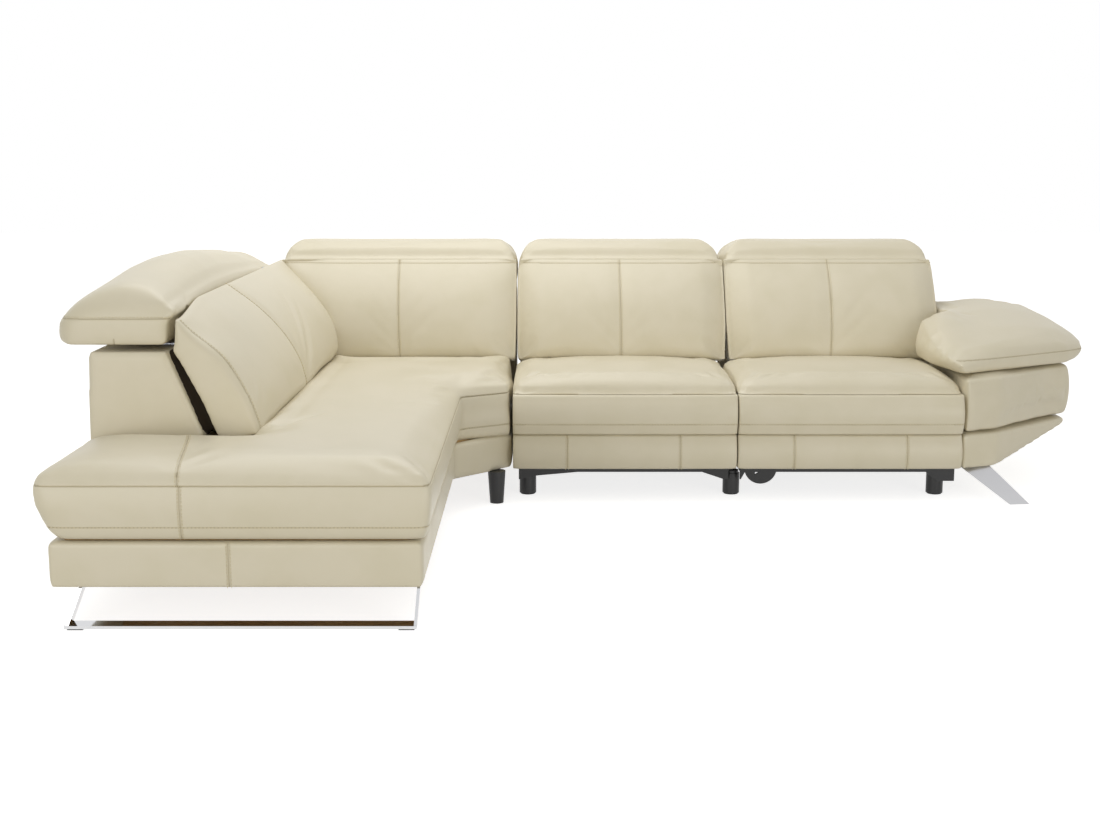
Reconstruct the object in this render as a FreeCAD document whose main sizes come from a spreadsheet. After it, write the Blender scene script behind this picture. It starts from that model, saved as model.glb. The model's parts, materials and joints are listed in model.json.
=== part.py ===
import FreeCAD
import Part
import math
import os
import re
import Sketcher
from FreeCAD import Placement, Rotation, Vector

# Leather corner sofa: an open ended chaise and corner, two reclining seats and a slanted arm.
# Millimetres, +Z up. The origin is on the floor under the leg at the inside corner of the L.
# +X runs along the row of seats towards the arm, and the chaise comes forward along -Y.
# Every headrest is folded flat behind its back, as it is when the sofa is put away for the day.

DIMENSIONS = {
    # Levels above the floor
    "base_bottom": 110,
    "base_top": 228,
    "split_gap": 4,
    "seam_height": 373,
    "crown_height": 438,
    "shell_top": 640,
    "fold_height": 766,
    "hump_height": 836,
    # Plan of the row of seats
    "row_start": 55,
    "row_front": 30,
    "seat_width": 761,
    "unit_gap": 4,
    "seat_depth": 500,
    "soft_gap": 2,
    "cushion_tuck": 30,
    "cushion_body_bottom": 322,
    "cushion_lip_bottom": 370,
    "cushion_lip_depth": 60,
    "side_draw": 10,
    # Plan of the chaise and the corner
    "chaise_left": 1106,
    "chaise_right": 104,
    "chaise_front": 1380,
    "chaise_seat_back": 615,
    "chaise_back_end": 906,
    "corner_cut_depth": 93,
    "corner_cut_width": 155,
    "bolster_inset": 60,
    "inner_inset": 18,
    "base_left": 1076,
    "base_right": 134,
    "base_front": 1365,
    "base_rear": 1000,
    "base_cut_front": 145,
    "base_cut_rear": 57,
    "panel_thickness": 36,
    "deck_thickness": 18,
    "batten_depth": 45,
    "batten_pitch": 360,
    # Backs, measured back from the foot of the back cushion
    "cushion_foot_height": 432,
    "board_bottom": 415,
    "board_foot": 124,
    "board_head": 239,
    "end_step": 40,
    "shell_foot": 170,
    "shell_head": 262,
    "shell_rear_top": 472,
    "back_depth": 484,
    "flap_depth": 40,
    "fold_setback": 230,
    "back_bulge": 34,
    "end_draw": 20,
    "corner_back_end": 51,
    "mid_back_start": 62,
    "mid_back_length": 766,
    "right_back_start": 851,
    "right_back_length": 779,
    "shell_end_gap": 3,
    "arm_clearance": 50,
    # Headrests
    "hinge_setback": 252,
    "hinge_height": 750,
    "nose_radius": 16,
    "headrest_reach": 314,
    "headrest_rim_top": 742,
    "headrest_underside": 657,
    "headrest_shoulder": 95,
    "headrest_corner": 60,
    "left_headrest_end": 660,
    "corner_headrest_start": 846,
    "hinge_rod_radius": 5,
    "running_gap": 0.06,
    "bracket_thickness": 4,
    "bracket_width": 30,
    "bracket_reach": 60,
    "bracket_inset": 150,
    "bracket_eye_radius": 8,
    "slot_gap": 2,
    "rod_inset": 20,
    # Legs and feet
    "sled_bar_width": 45,
    "sled_bar_thickness": 8,
    "sled_foot_left": 1040,
    "sled_foot_right": 154,
    "sled_top_left": 1006,
    "sled_top_right": 146,
    "sled_foot_front": 1372,
    "sled_lean": 40,
    "glide_height": 4,
    "glide_length": 40,
    "leg_top_radius": 30,
    "leg_foot_radius": 23,
    "foot_radius": 29,
    "foot_height": 78,
    "foot_edge": 4,
    "foot_inset": 33,
    "foot_front": 137,
    "foot_rear": 850,
    "lug_bottom": 58,
    "lug_step": 13,
    "lug_reach": 77,
    "lug_long_reach": 144,
    "end_lug_bottom": 52,
    "lobe_radius": 56,
    "lobe_across": 89,
    "lobe_height": 98,
    # Steel base of a reclining seat
    "side_plate_inset": 18,
    "side_plate_thickness": 5,
    "side_plate_top": 262,
    "frame_front": 96,
    "frame_rear": 880,
    "rail_bottom": 84,
    "rail_height": 24,
    "rail_depth": 30,
    "cross_rail_front": 330,
    "cross_rail_rear": 540,
    "cross_rail_height": 30,
    "back_pivot_setback": 200,
    "back_pivot_height": 330,
    "pivot_pin_radius": 8,
    "pivot_boss_radius": 22,
    "arm_plate_inset": 60,
    # Seat frame and webbing
    "seat_rail_inset": 50,
    "seat_rail_width": 40,
    "seat_rail_bottom": 262,
    "seat_rail_top": 320,
    "seat_frame_front": 92,
    "seat_frame_rear": 600,
    "seat_cross_bottom": 286,
    "webbing_width": 60,
    "webbing_thickness": 2,
    "webbing_pitch": 92,
    # Footrest and its scissor links
    "footrest_front": -5,
    "footrest_rear": 87,
    "footrest_board_thickness": 15,
    "footrest_board_bottom": 120,
    "footrest_board_top": 350,
    "footrest_panel_bottom": 112,
    "footrest_pad_top": 363,
    "footrest_end_gap": 3,
    "link_pivot_back": 205,
    "link_pivot_height": 280,
    "link_length": 150,
    "link_line": 186,
    "link_fold": 70,
    "link_half_width": 11,
    "link_thickness": 4,
    "link_step": 5,
    "rear_link_inset": 42,
    "link_pin_radius": 5,
    "ear_radius": 9,
    "torque_tube_radius": 12,
    # Drive of the footrest
    "crank_length": 120,
    "crank_swing": 29,
    "crank_thickness": 6,
    "cheek_gap": 1,
    "cheek_thickness": 6,
    "block_length": 40,
    "block_width": 30,
    "block_bottom": 114,
    "block_shoulder": 148,
    "block_top": 188,
    "drive_rail_radius": 9,
    "drive_rail_height": 131,
    "motor_length": 120,
    "motor_width": 70,
    "hanger_depth": 22,
    # Arm
    "arm_inner": 1584,
    "arm_outer": 2041,
    "arm_knee": 1715,
    "arm_knee_front": 82,
    "arm_shoulder_front": 373,
    "arm_body_top": 428,
    "arm_underside_rise": 95,
    "arm_notch": 54,
    "arm_notch_front": 505,
    "arm_notch_drop": 24,
    "arm_pad_seam": 474,
    "arm_pad_ridge": 604,
    "arm_leg_thickness": 12,
    "arm_leg_top_width": 105,
    "arm_leg_foot_width": 69,
    "arm_leg_splay": 146,
    "arm_leg_lean": 92,
    "connector_radius": 12,
}

doc = FreeCAD.newDocument("corner_sofa")
sheet = doc.addObject("Spreadsheet::Sheet", "dims")
for row_number, (alias, plain_value) in enumerate(DIMENSIONS.items(), start=1):
    sheet.set(f"A{row_number}", alias)
    sheet.set(f"B{row_number}", str(plain_value))
    sheet.setAlias(f"B{row_number}", alias)
doc.recompute()

NODES = []
ALIAS = re.compile(r"\b(" + "|".join(sorted(DIMENSIONS, key=len, reverse=True)) + r")\b")
X_AXIS = Vector(1, 0, 0)
Y_AXIS = Vector(0, 1, 0)
Z_AXIS = Vector(0, 0, 1)
ORIGIN = ("0", "0", "0")
ROW_BACK = "row_front + seat_depth"


# Building blocks

def bound(formula):
    """A formula in cell names, written the way an expression names them."""
    return ALIAS.sub(r"dims.\1", str(formula))


def amount(formula):
    """The same formula worked out now, for shapes that are computed here."""
    return float(sheet.evalExpression(bound(formula)))


def place(item, at, turn=0.0, axis=Z_AXIS):
    """Turns an item about an axis and binds its position to the sheet."""
    item.Placement = Placement(Vector(*[amount(part) for part in at]), Rotation(axis, turn))
    for letter, part in zip("xyz", at):
        item.setExpression(f"Placement.Base.{letter}", bound(part))
    return item


def box(at, span):
    """A rectangular block with one corner at a point."""
    item = doc.addObject("Part::Box", "block")
    for side, formula in zip(("Length", "Width", "Height"), span):
        item.setExpression(side, bound(formula))
    return place(item, at)


def rod(at, radius, length, axis=X_AXIS):
    """A round bar that starts at a point and runs along an axis."""
    item = doc.addObject("Part::Cylinder", "rod")
    item.setExpression("Radius", bound(radius))
    item.setExpression("Height", bound(length))
    return place(item, at, 90 if axis != Z_AXIS else 0, Y_AXIS if axis == X_AXIS else X_AXIS * -1)


def cone(at, foot_radius, top_radius, height):
    """A tapered leg that stands on a point."""
    item = doc.addObject("Part::Cone", "cone")
    item.setExpression("Radius1", bound(foot_radius))
    item.setExpression("Radius2", bound(top_radius))
    item.setExpression("Height", bound(height))
    return place(item, at)


def polygon_sketch(body, role, outline):
    """A closed outline on one plane of a body, with every corner bound to the sheet."""
    sketch = body.newObject("Sketcher::SketchObject", "outline")
    plane = [feature for feature in body.Origin.OriginFeatures if feature.Role == role][0]
    sketch.AttachmentSupport = [(plane, "")]
    sketch.MapMode = "FlatFace"
    corners = [(amount(across), amount(up)) for across, up in outline]
    count = len(corners)
    for index, start in enumerate(corners):
        end = corners[(index + 1) % count]
        sketch.addGeometry(Part.LineSegment(Vector(*start, 0), Vector(*end, 0)), False)
    for index in range(count):
        sketch.addConstraint(Sketcher.Constraint("Coincident", index, 2, (index + 1) % count, 1))
    for index, formulas in enumerate(outline):
        for kind, formula, place_now in zip(("DistanceX", "DistanceY"), formulas, corners[index]):
            datum = Sketcher.Constraint(kind, -1, 1, index, 1, place_now)
            number = sketch.addConstraint(datum)
            sketch.setExpression(f"Constraints[{number}]", bound(formula))
    return sketch


def prism(role, outline, length, at=ORIGIN, reverse=False):
    """A body padded from an outline: from the YZ plane along +X, or from the XY plane along +Z."""
    body = doc.addObject("PartDesign::Body", "prism")
    pad = body.newObject("PartDesign::Pad", "pad")
    pad.Profile = polygon_sketch(body, role, outline)
    pad.setExpression("Length", bound(length))
    pad.Reversed = reverse
    body.Tip = pad
    return place(body, at)


def through_cut(body, role, outline):
    """Takes an outline out of a body all the way through."""
    doc.recompute()
    before = body.Shape.Volume
    pocket = body.newObject("PartDesign::Pocket", "pocket")
    pocket.Profile = polygon_sketch(body, role, outline)
    pocket.Type = "ThroughAll"
    pocket.SideType = "Symmetric"
    body.Tip = pocket
    doc.recompute()
    if body.Shape.Volume >= before:
        raise ValueError(f"{body.Label} lost nothing to its cut")
    return body


def fuse(items):
    """Joins items into one solid."""
    item = doc.addObject("Part::MultiFuse", "joined")
    item.Shapes = items
    item.Refine = True
    return item


def cut(base, tools):
    """Takes one or more items out of a base."""
    item = doc.addObject("Part::Cut", "trimmed")
    item.Base = base
    item.Tool = tools[0] if len(tools) == 1 else fuse_group(tools)
    return item


def fuse_group(items):
    """A group of items that stay apart, as one object."""
    item = doc.addObject("Part::Compound", "set")
    item.Links = items
    return item


def node(label, item, at=ORIGIN, turn=0.0):
    """Names an item, places it and lists it for export."""
    item.Label = label
    place(item, at, turn)
    NODES.append(item)
    return item


def soft_node(label, shape, at=ORIGIN, turn=0.0):
    """A computed soft form, named, placed and listed for export."""
    item = doc.addObject("Part::Feature", label)
    item.Label = label
    item.Shape = shape
    item.Placement = Placement(Vector(*[amount(part) for part in at]), Rotation(Z_AXIS, turn))
    NODES.append(item)
    return item


def closed_wire(start, steps):
    """A closed outline: a step is a point for a line, or a middle and an end for an arc."""
    edges = []
    here = start
    for step in steps:
        if isinstance(step, tuple):
            edges.append(Part.Arc(here, step[0], step[1]).toShape())
            here = step[1]
        else:
            edges.append(Part.makeLine(here, step))
            here = step
    if here.distanceToPoint(start) > 1e-6:
        edges.append(Part.makeLine(here, start))
    return Part.Wire(edges)


def side_point(station, depth, height):
    """A point of a section that stands across the length of a back or a seat."""
    return Vector(station, depth, height)


def extruded(wire, direction):
    """A solid swept from a flat outline."""
    return Part.Face(wire).extrude(direction)


# Backs: the shell, its cushion, the hinge brackets and the headrest, all drawn with
# their length along X and their depth along Y

def rounded_x(length, front):
    """An upright prism along X through a front outline of length, shoulder and top."""
    reach = amount("headrest_reach + hinge_setback + 60")
    shoulder = amount("headrest_shoulder")
    top = amount("hump_height") + 4
    low = amount("headrest_underside") - 40
    bend = shoulder * (1 - math.sqrt(0.5))
    wire = closed_wire(Vector(0, front, low), [
        Vector(length, front, low),
        Vector(length, front, top - shoulder),
        (Vector(length - bend, front, top - bend), Vector(length - shoulder, front, top)),
        Vector(shoulder, front, top),
        (Vector(bend, front, top - bend), Vector(0, front, top - shoulder)),
    ])
    return extruded(wire, Vector(0, reach, 0))


def rounded_plan(length):
    """An upright prism whose rear corners are rounded in plan."""
    corner = amount("headrest_corner")
    rear = amount("hinge_setback + headrest_reach") + 2
    bend = corner * (1 - math.sqrt(0.5))
    wire = closed_wire(Vector(0, 0, 0), [
        Vector(length, 0, 0),
        Vector(length, rear - corner, 0),
        (Vector(length - bend, rear - bend, 0), Vector(length - corner, rear, 0)),
        Vector(corner, rear, 0),
        (Vector(bend, rear - bend, 0), Vector(0, rear - corner, 0)),
    ])
    return extruded(wire, Vector(0, 0, amount("hump_height") + 40))


def hinge_point(radius, degrees):
    """A point of the section around the hinge of a headrest."""
    angle = math.radians(degrees)
    return side_point(
        0,
        amount("hinge_setback") + radius * math.cos(angle),
        amount("hinge_height") + radius * math.sin(angle),
    )


def bracket_stations(length):
    """Where the two hinge brackets of a back start along its length."""
    return (amount("bracket_inset"), length - amount("bracket_inset + bracket_width"))


def headrest_shape(length):
    """A headrest pad folded back, with slots for its brackets and a bore for its rod."""
    nose = amount("nose_radius")
    hinge_y = amount("hinge_setback")
    hinge_z = amount("hinge_height")
    rear = amount("hinge_setback + headrest_reach")
    rim = amount("headrest_rim_top")
    low = amount("headrest_underside")
    hump = amount("hump_height")
    section = closed_wire(hinge_point(nose, 52), [
        (side_point(0, hinge_y + 40, hinge_z + 56), side_point(0, hinge_y + 92, hump)),
        (side_point(0, hinge_y + 212, rim + 66), side_point(0, rear - 6, rim)),
        side_point(0, rear, rim - 50),
        (side_point(0, rear - 7, low + 8), side_point(0, rear - 26, low)),
        side_point(0, hinge_y + 26, low),
        (side_point(0, hinge_y + 14, low + 4), side_point(0, hinge_y + 10, low + 14)),
        side_point(0, hinge_y + 5, hinge_z - nose - 4),
        hinge_point(nose, 270),
        (hinge_point(nose, 215), hinge_point(nose, 161)),
        (hinge_point(nose, 107), hinge_point(nose, 52)),
    ])
    pad = extruded(section, Vector(length, 0, 0))
    pad = pad.common(rounded_x(length, 0)).common(rounded_plan(length))
    gap = amount("slot_gap")
    width = amount("bracket_width") + 2 * gap
    for station in bracket_stations(length):
        left = station - gap
        slot = Part.makeBox(width, nose + 6, nose + 3, side_point(left, hinge_y - nose - 2, hinge_z - nose - 2))
        eye = Part.makeCylinder(
            amount("bracket_eye_radius") + 1, width, side_point(left, hinge_y, hinge_z), X_AXIS
        )
        pad = pad.cut(slot).cut(eye)
    inset = amount("rod_inset")
    bore = Part.makeCylinder(
        amount("hinge_rod_radius"), length - 2 * inset, side_point(inset, hinge_y, hinge_z), X_AXIS
    )
    return pad.cut(bore)


def back_section(station, draw, bulge):
    """The outline of a back cushion at one station along its length."""
    foot = amount("cushion_foot_height")
    fold_y = amount("fold_setback")
    fold_z = amount("fold_height")
    front = side_point(station, draw, foot)
    fold = side_point(station, fold_y, fold_z)
    middle = (front + fold) * 0.5
    chord = fold - front
    outward = side_point(0, -chord.z, chord.y).normalize()
    return closed_wire(front, [
        (middle + outward * bulge, fold),
        side_point(station, fold_y + 2, fold_z - 14),
        side_point(station, fold_y + 2, fold_z - 31),
        side_point(station, amount("board_head"), amount("shell_top")),
        side_point(station, amount("board_foot"), amount("board_bottom")),
        side_point(station, amount("board_foot") * 0.5, amount("board_bottom") + 1),
    ])


def back_cushion_shape(length):
    """A plump back cushion that draws in at both ends."""
    draw = amount("end_draw")
    bulge = amount("back_bulge")
    half = (
        (0, draw, bulge * 0.3),
        (12, draw * 0.55, bulge * 0.6),
        (40, draw * 0.2, bulge * 0.8),
        (length * 0.2, 0, bulge * 0.95),
    )
    other_half = [(length - station, pull, puff) for station, pull, puff in reversed(half)]
    stations = [*half, *other_half]
    return Part.makeLoft([back_section(*station) for station in stations], True, True)


def shell(length, foot_to_floor):
    """The upholstered shell behind a cushion, with a board that the cushion is fixed to."""
    if foot_to_floor:
        outline = [
            ("shell_foot", "base_top + split_gap"),
            ("shell_foot", "board_bottom"),
            ("shell_head", "shell_top"),
            ("shell_rear_top", "shell_top"),
            ("back_depth", "base_top + split_gap"),
        ]
    else:
        outline = [
            ("shell_foot", "board_bottom"),
            ("shell_head", "shell_top"),
            ("shell_rear_top", "shell_top"),
            ("back_depth", "base_top + split_gap + 3"),
            ("back_depth - flap_depth", "base_top + split_gap + 3"),
            ("back_depth - flap_depth - 14", "board_bottom"),
        ]
    block = prism("YZ_Plane", outline, length)
    board = prism("YZ_Plane", [
        ("board_foot", "board_bottom"),
        ("board_head", "shell_top"),
        ("shell_head + 4", "shell_top"),
        ("shell_foot + 4", "board_bottom"),
    ], f"{length} - 2 * end_step", ("end_step", "0", "0"))
    return fuse([block, board])


def bracket_pair(length):
    """Two L brackets with an eye each for the rod of a headrest."""
    pair = []
    for start in ("bracket_inset", f"{length} - bracket_inset - bracket_width"):
        foot = box(
            (start, "hinge_setback - bracket_thickness / 2", "shell_top"),
            ("bracket_width", "bracket_reach", "bracket_thickness"),
        )
        leg = box(
            (start, "hinge_setback - bracket_thickness / 2", "shell_top"),
            ("bracket_width", "bracket_thickness", "hinge_height - shell_top"),
        )
        eye = rod((start, "hinge_setback", "hinge_height"), "bracket_eye_radius", "bracket_width")
        bore = rod(
            (f"{start} - 1", "hinge_setback", "hinge_height"),
            "hinge_rod_radius + running_gap",
            "bracket_width + 2",
        )
        pair.append(cut(fuse([foot, leg, eye]), [bore]))
    return fuse_group(pair)


def headrest_nodes(prefix, length, at, turn, lift=("0", "0", "0")):
    """The brackets, the pad and the rod of one headrest."""
    long = amount(length)
    node(f"{prefix}_headrest_brackets", bracket_pair(length), at, turn)
    soft_node(f"{prefix}_headrest_pad", headrest_shape(long), at, turn)
    axle = rod(("rod_inset", "hinge_setback", "hinge_height"), "hinge_rod_radius", f"{length} - 2 * rod_inset")
    node(f"{prefix}_headrest_rod", fuse_group([axle]), at, turn)


def corner_backs():
    """The two fixed backs, which meet on a slanted plane in the corner."""
    left_at = ("-chaise_seat_back", "-chaise_back_end", "0")
    corner_at = ("-chaise_seat_back - back_depth", ROW_BACK, "0")
    left_length = "chaise_back_end + row_front + seat_depth + back_depth"
    corner_length = "corner_back_end + chaise_seat_back + back_depth"
    left_meet = "chaise_back_end + row_front + seat_depth"
    corner_meet = "back_depth"
    for prefix, length, at, turn, meet, sign in (
        ("left", left_length, left_at, 90, left_meet, 1),
        ("corner", corner_length, corner_at, 0, corner_meet, -1),
    ):
        long = amount(length)
        edge = amount(meet)
        half = amount("soft_gap") * 0.5
        depth = 700
        beyond = 1200 * sign
        start = edge - half * sign * 1.5
        wedge = extruded(closed_wire(Vector(start, 0, -10), [
            Vector(start + depth * sign, depth, -10),
            Vector(start + depth * sign + beyond, depth, -10),
            Vector(start + beyond, 0, -10),
        ]), Vector(0, 0, 1200))
        cushion = back_cushion_shape(long).cut(wedge)
        soft_node(f"{prefix}_back_cushion", cushion, at, turn)
        shell_form = shell(length, True)
        cutter = doc.addObject("Part::Feature", "corner_wedge")
        cutter.Shape = wedge
        node(f"{prefix}_back_shell", cut(shell_form, [cutter]), at, turn)
    headrest_nodes("left", "chaise_back_end - end_draw + left_headrest_end", left_at_headrest(), 90)
    headrest_nodes(
        "corner", "corner_headrest_start + corner_back_end", ("-corner_headrest_start", ROW_BACK, "0"), 0
    )


def left_at_headrest():
    """Where the headrest of the left back starts."""
    return ("-chaise_seat_back", "-chaise_back_end + end_draw", "0")


# Seats of the chaise and the corner

def inset_outline(corners, insets, height):
    """The corners of an outline after each side has moved inwards by its own distance."""
    count = len(corners)
    moved = []
    for index in range(count):
        start = Vector(*corners[index], 0)
        end = Vector(*corners[(index + 1) % count], 0)
        along = (end - start).normalize()
        inward = Vector(-along.y, along.x, 0)
        moved.append((start + inward * insets[index], along))
    points = []
    for index in range(count):
        first, first_way = moved[index - 1]
        second, second_way = moved[index]
        offset = second - first
        cross = first_way.x * second_way.y - first_way.y * second_way.x
        reach = (offset.x * second_way.y - offset.y * second_way.x) / cross
        point = first + first_way * reach
        points.append(Vector(point.x, point.y, height))
    return points


def rounded_outline(points, radii):
    """A closed outline whose corners are rounded, each by its own radius."""
    count = len(points)
    first = None
    steps = []
    for index in range(count):
        corner = points[index]
        back = (points[index - 1] - corner).normalize()
        ahead = (points[(index + 1) % count] - corner).normalize()
        half_angle = back.getAngle(ahead) / 2
        radius = radii[index]
        run = radius / math.tan(half_angle)
        bisector = (back + ahead).normalize()
        middle = corner + bisector * (radius / math.sin(half_angle) - radius)
        enter = corner + back * run
        leave = corner + ahead * run
        if first is None:
            first = enter
        else:
            steps.append(enter)
        steps.append((middle, leave))
    steps.append(first)
    return closed_wire(first, steps)


def chaise_cushion_shape():
    """The long L-shaped seat, plump over its top and drawn in under its seam."""
    left = amount("chaise_left")
    right = amount("chaise_right")
    front = amount("chaise_front")
    tuck_x = amount("chaise_seat_back + cushion_tuck")
    rear = amount(f"{ROW_BACK} + cushion_tuck")
    shell_end = amount("chaise_back_end + 6")
    edge = amount("corner_back_end")
    corners = [
        (-left, -front),
        (-right, -front),
        (-right, 28 - amount("corner_cut_depth")),
        (edge, 28),
        (edge, rear),
        (-tuck_x, rear),
        (-tuck_x, -shell_end),
        (-left, -shell_end),
    ]
    under = amount("bolster_inset")
    inner = amount("inner_inset")
    levels = (
        (amount("base_top + split_gap"), (14, inner, inner, 2, 0, 0, 2, under)),
        (amount("base_top + split_gap") + 26, (2, inner * 0.5, inner * 0.5, 1, 0, 0, 1, under * 0.6)),
        (amount("seam_height") - 50, (-5, 0, 0, 1, 0, 0, 0, under * 0.15)),
        (amount("seam_height"), (0, 0, 0, 1, 0, 0, 0, 0)),
        (amount("seam_height") + 34, (16, 16, 16, 6, 3, 3, 10, 16)),
        (amount("crown_height") - 12, (62, 62, 62, 30, 45, 45, 40, 62)),
        (amount("crown_height"), (150, 150, 120, 90, 130, 130, 90, 150)),
    )
    radii = (34, 26, 20, 8, 6, 6, 12, 20)
    wires = []
    for height, insets in levels:
        points = inset_outline(corners, insets, height)
        wires.append(rounded_outline(points, radii))
    return Part.makeLoft(wires, True, True)


def base_outline(inset):
    """The L-shaped plan of the base of the chaise, moved inwards by an inset."""
    return [
        (f"-base_left + {inset}", f"-base_front + {inset}"),
        (f"-base_right - {inset}", f"-base_front + {inset}"),
        (f"-base_right - {inset}", f"-base_cut_front + {inset} * 0.3"),
        (f"corner_back_end - {inset}", f"base_cut_rear + {inset} * 1.1"),
        (f"corner_back_end - {inset}", f"base_rear - {inset}"),
        (f"-base_left + {inset}", f"base_rear - {inset}"),
    ]


def chaise_base():
    """The upholstered base panels and the timber deck inside them."""
    walls = prism("XY_Plane", base_outline("0"), "base_top - base_bottom")
    through_cut(walls, "XY_Plane", base_outline("panel_thickness"))
    node("chaise_base_panels", fuse_group([walls]), ("0", "0", "base_bottom"))
    deck = prism(
        "XY_Plane",
        base_outline("panel_thickness"),
        "deck_thickness",
        ("0", "0", "base_top + split_gap - deck_thickness"),
    )
    node("chaise_timber_deck", fuse_group([deck]))
    battens = []
    low = "base_bottom + 50"
    height = "base_top + split_gap - deck_thickness - base_bottom - 50"
    width = "base_left - base_right - 2 * panel_thickness"
    for step in range(4):
        battens.append(box(
            ("-base_left + panel_thickness", f"-base_front + 140 + batten_pitch * {step}", low),
            (width, "batten_depth", height),
        ))
    for step in range(3):
        battens.append(box(
            ("-base_left + panel_thickness", f"base_cut_rear + 90 + batten_pitch * {step}", low),
            ("base_left + corner_back_end - 2 * panel_thickness", "batten_depth", height),
        ))
    battens.append(box(
        ("-base_left + panel_thickness", "-base_front + panel_thickness", "base_bottom"),
        (width, "batten_depth", "base_top + split_gap - deck_thickness - base_bottom"),
    ))
    node("chaise_deck_battens", fuse_group(battens))
    soft_node("chaise_seat_cushion", chaise_cushion_shape())


# Reclining seats, drawn with X from the left side of the unit and Y, Z as in the whole sofa

def both_sides(inset, width):
    """Where a piece starts on the left side of a unit, and where its mirror image starts."""
    return (inset, f"seat_width - ({inset}) - ({width})")


def joint_position(which):
    """The plan depth and height of a link pivot while the footrest is folded."""
    if which == "knee":
        angle = "(link_line + link_fold) * 1deg"
        return (
            f"link_pivot_back + link_length * cos({angle})",
            f"link_pivot_height + link_length * sin({angle})",
        )
    if which == "footrest":
        reach = "2 * link_length * cos(link_fold * 1deg)"
        return (
            f"link_pivot_back + {reach} * cos(link_line * 1deg)",
            f"link_pivot_height + {reach} * sin(link_line * 1deg)",
        )
    return (
        "link_pivot_back + crank_length * sin(crank_swing * 1deg)",
        "link_pivot_height - crank_length * cos(crank_swing * 1deg)",
    )


def link_bar(start_x, depth, height, angle, length, thickness, half_width):
    """A flat bar with round ends that leaves a pivot at an angle from +Y towards +Z."""
    turn = f"({angle}) * 1deg"
    corners = []
    for along, across in (("0", "-1"), (length, "-1"), (length, "1"), ("0", "1")):
        corners.append((
            f"{depth} + {along} * cos({turn}) - ({across}) * {half_width} * sin({turn})",
            f"{height} + {along} * sin({turn}) + ({across}) * {half_width} * cos({turn})",
        ))
    bar = prism("YZ_Plane", corners, thickness, (start_x, "0", "0"))
    near = rod((start_x, depth, height), half_width, thickness)
    far_at = (start_x, f"{depth} + {length} * cos({turn})", f"{height} + {length} * sin({turn})")
    far = rod(far_at, half_width, thickness)
    return [bar, near, far]


def seat_cushion_shape():
    """A seat cushion with a plump top and a lip over the folded footrest."""
    width = amount("seat_width")
    gap = amount("soft_gap") * 0.5
    front = amount("row_front")
    rear = amount(f"{ROW_BACK} + cushion_tuck")
    lip = amount("cushion_lip_bottom")
    low = amount("cushion_body_bottom")
    step = amount("row_front + cushion_lip_depth")
    crown = amount("crown_height")
    draw = amount("side_draw")
    wires = []
    half = ((gap, 34, draw), (gap + 14, 20, draw * 0.5), (gap + 50, 10, draw * 0.2), (width * 0.3, 2, 0))
    other_half = [(width - station, drop, back) for station, drop, back in reversed(half)]
    for station, drop, back in (*half, (width / 2, 0, 0), *other_half):
        top = crown - drop
        wires.append(closed_wire(side_point(station, front + back, lip), [
            (side_point(station, front + back + 24, top - 26), side_point(station, front + 96, top - 8)),
            (side_point(station, (front + rear) / 2, top), side_point(station, rear - 34, top - 12)),
            side_point(station, rear, lip + 30 - drop * 0.5),
            side_point(station, rear, low),
            side_point(station, step, low),
            side_point(station, step, lip),
        ]))
    return Part.makeLoft(wires, True, True)


def footrest_shape(low, high, front, belly):
    """A padded front of the footrest between two levels, drawn in at its ends."""
    width = amount("seat_width")
    gap = amount("footrest_end_gap")
    back = amount("footrest_rear - footrest_board_thickness")
    wires = []
    half = ((gap, 1.0), (gap + 12, 0.5), (gap + 36, 0.2), (width * 0.3, 0.0))
    other_half = [(width - station, draw) for station, draw in reversed(half)]
    for station, draw in (*half, *other_half):
        pull = 9 * draw
        wires.append(closed_wire(side_point(station, back, low), [
            side_point(station, back, high - 3),
            side_point(station, front + 25 + pull, high - pull * 0.3),
            (
                side_point(station, front + pull, (low + high) / 2),
                side_point(station, front + belly + pull, low + pull * 0.3),
            ),
        ]))
    return Part.makeLoft(wires, True, True)


def mid_lugs():
    """The sloping lugs under the front rail of the middle unit."""
    left = "foot_inset + 16 + foot_radius"
    right = "seat_width - 4 - foot_radius"
    edge = "seat_width - side_plate_inset"
    return (
        [
            ("side_plate_inset", "rail_bottom + 6"),
            ("side_plate_inset", "lug_bottom"),
            (left, "lug_bottom + lug_step"),
            (f"{left} + lug_long_reach", "rail_bottom"),
            (f"{left} + lug_long_reach", "rail_bottom + 6"),
        ],
        [
            (f"{right} - lug_reach", "rail_bottom"),
            (right, "lug_bottom"),
            (edge, "lug_bottom"),
            (edge, "rail_bottom + 6"),
            (f"{right} - lug_reach", "rail_bottom + 6"),
        ],
    )


def right_lugs():
    """The short lugs under the front rail of the unit beside the arm."""
    foot = "seat_width - foot_inset - 26 - foot_radius"
    return (
        [
            ("side_plate_inset", "rail_bottom + 6"),
            ("side_plate_inset", "lug_bottom"),
            ("side_plate_inset + 3", "lug_bottom"),
            ("side_plate_inset + 17", "rail_bottom"),
            ("side_plate_inset + 17", "rail_bottom + 6"),
        ],
        [
            (f"{foot} - lug_step", "rail_bottom"),
            (foot, "rail_bottom - lug_step"),
            (f"{foot} + foot_radius", "end_lug_bottom"),
            ("seat_width - 2", "end_lug_bottom"),
            ("seat_width - 2", "rail_bottom + rail_height"),
            (f"{foot} - lug_step", "rail_bottom + rail_height"),
        ],
    )


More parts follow.
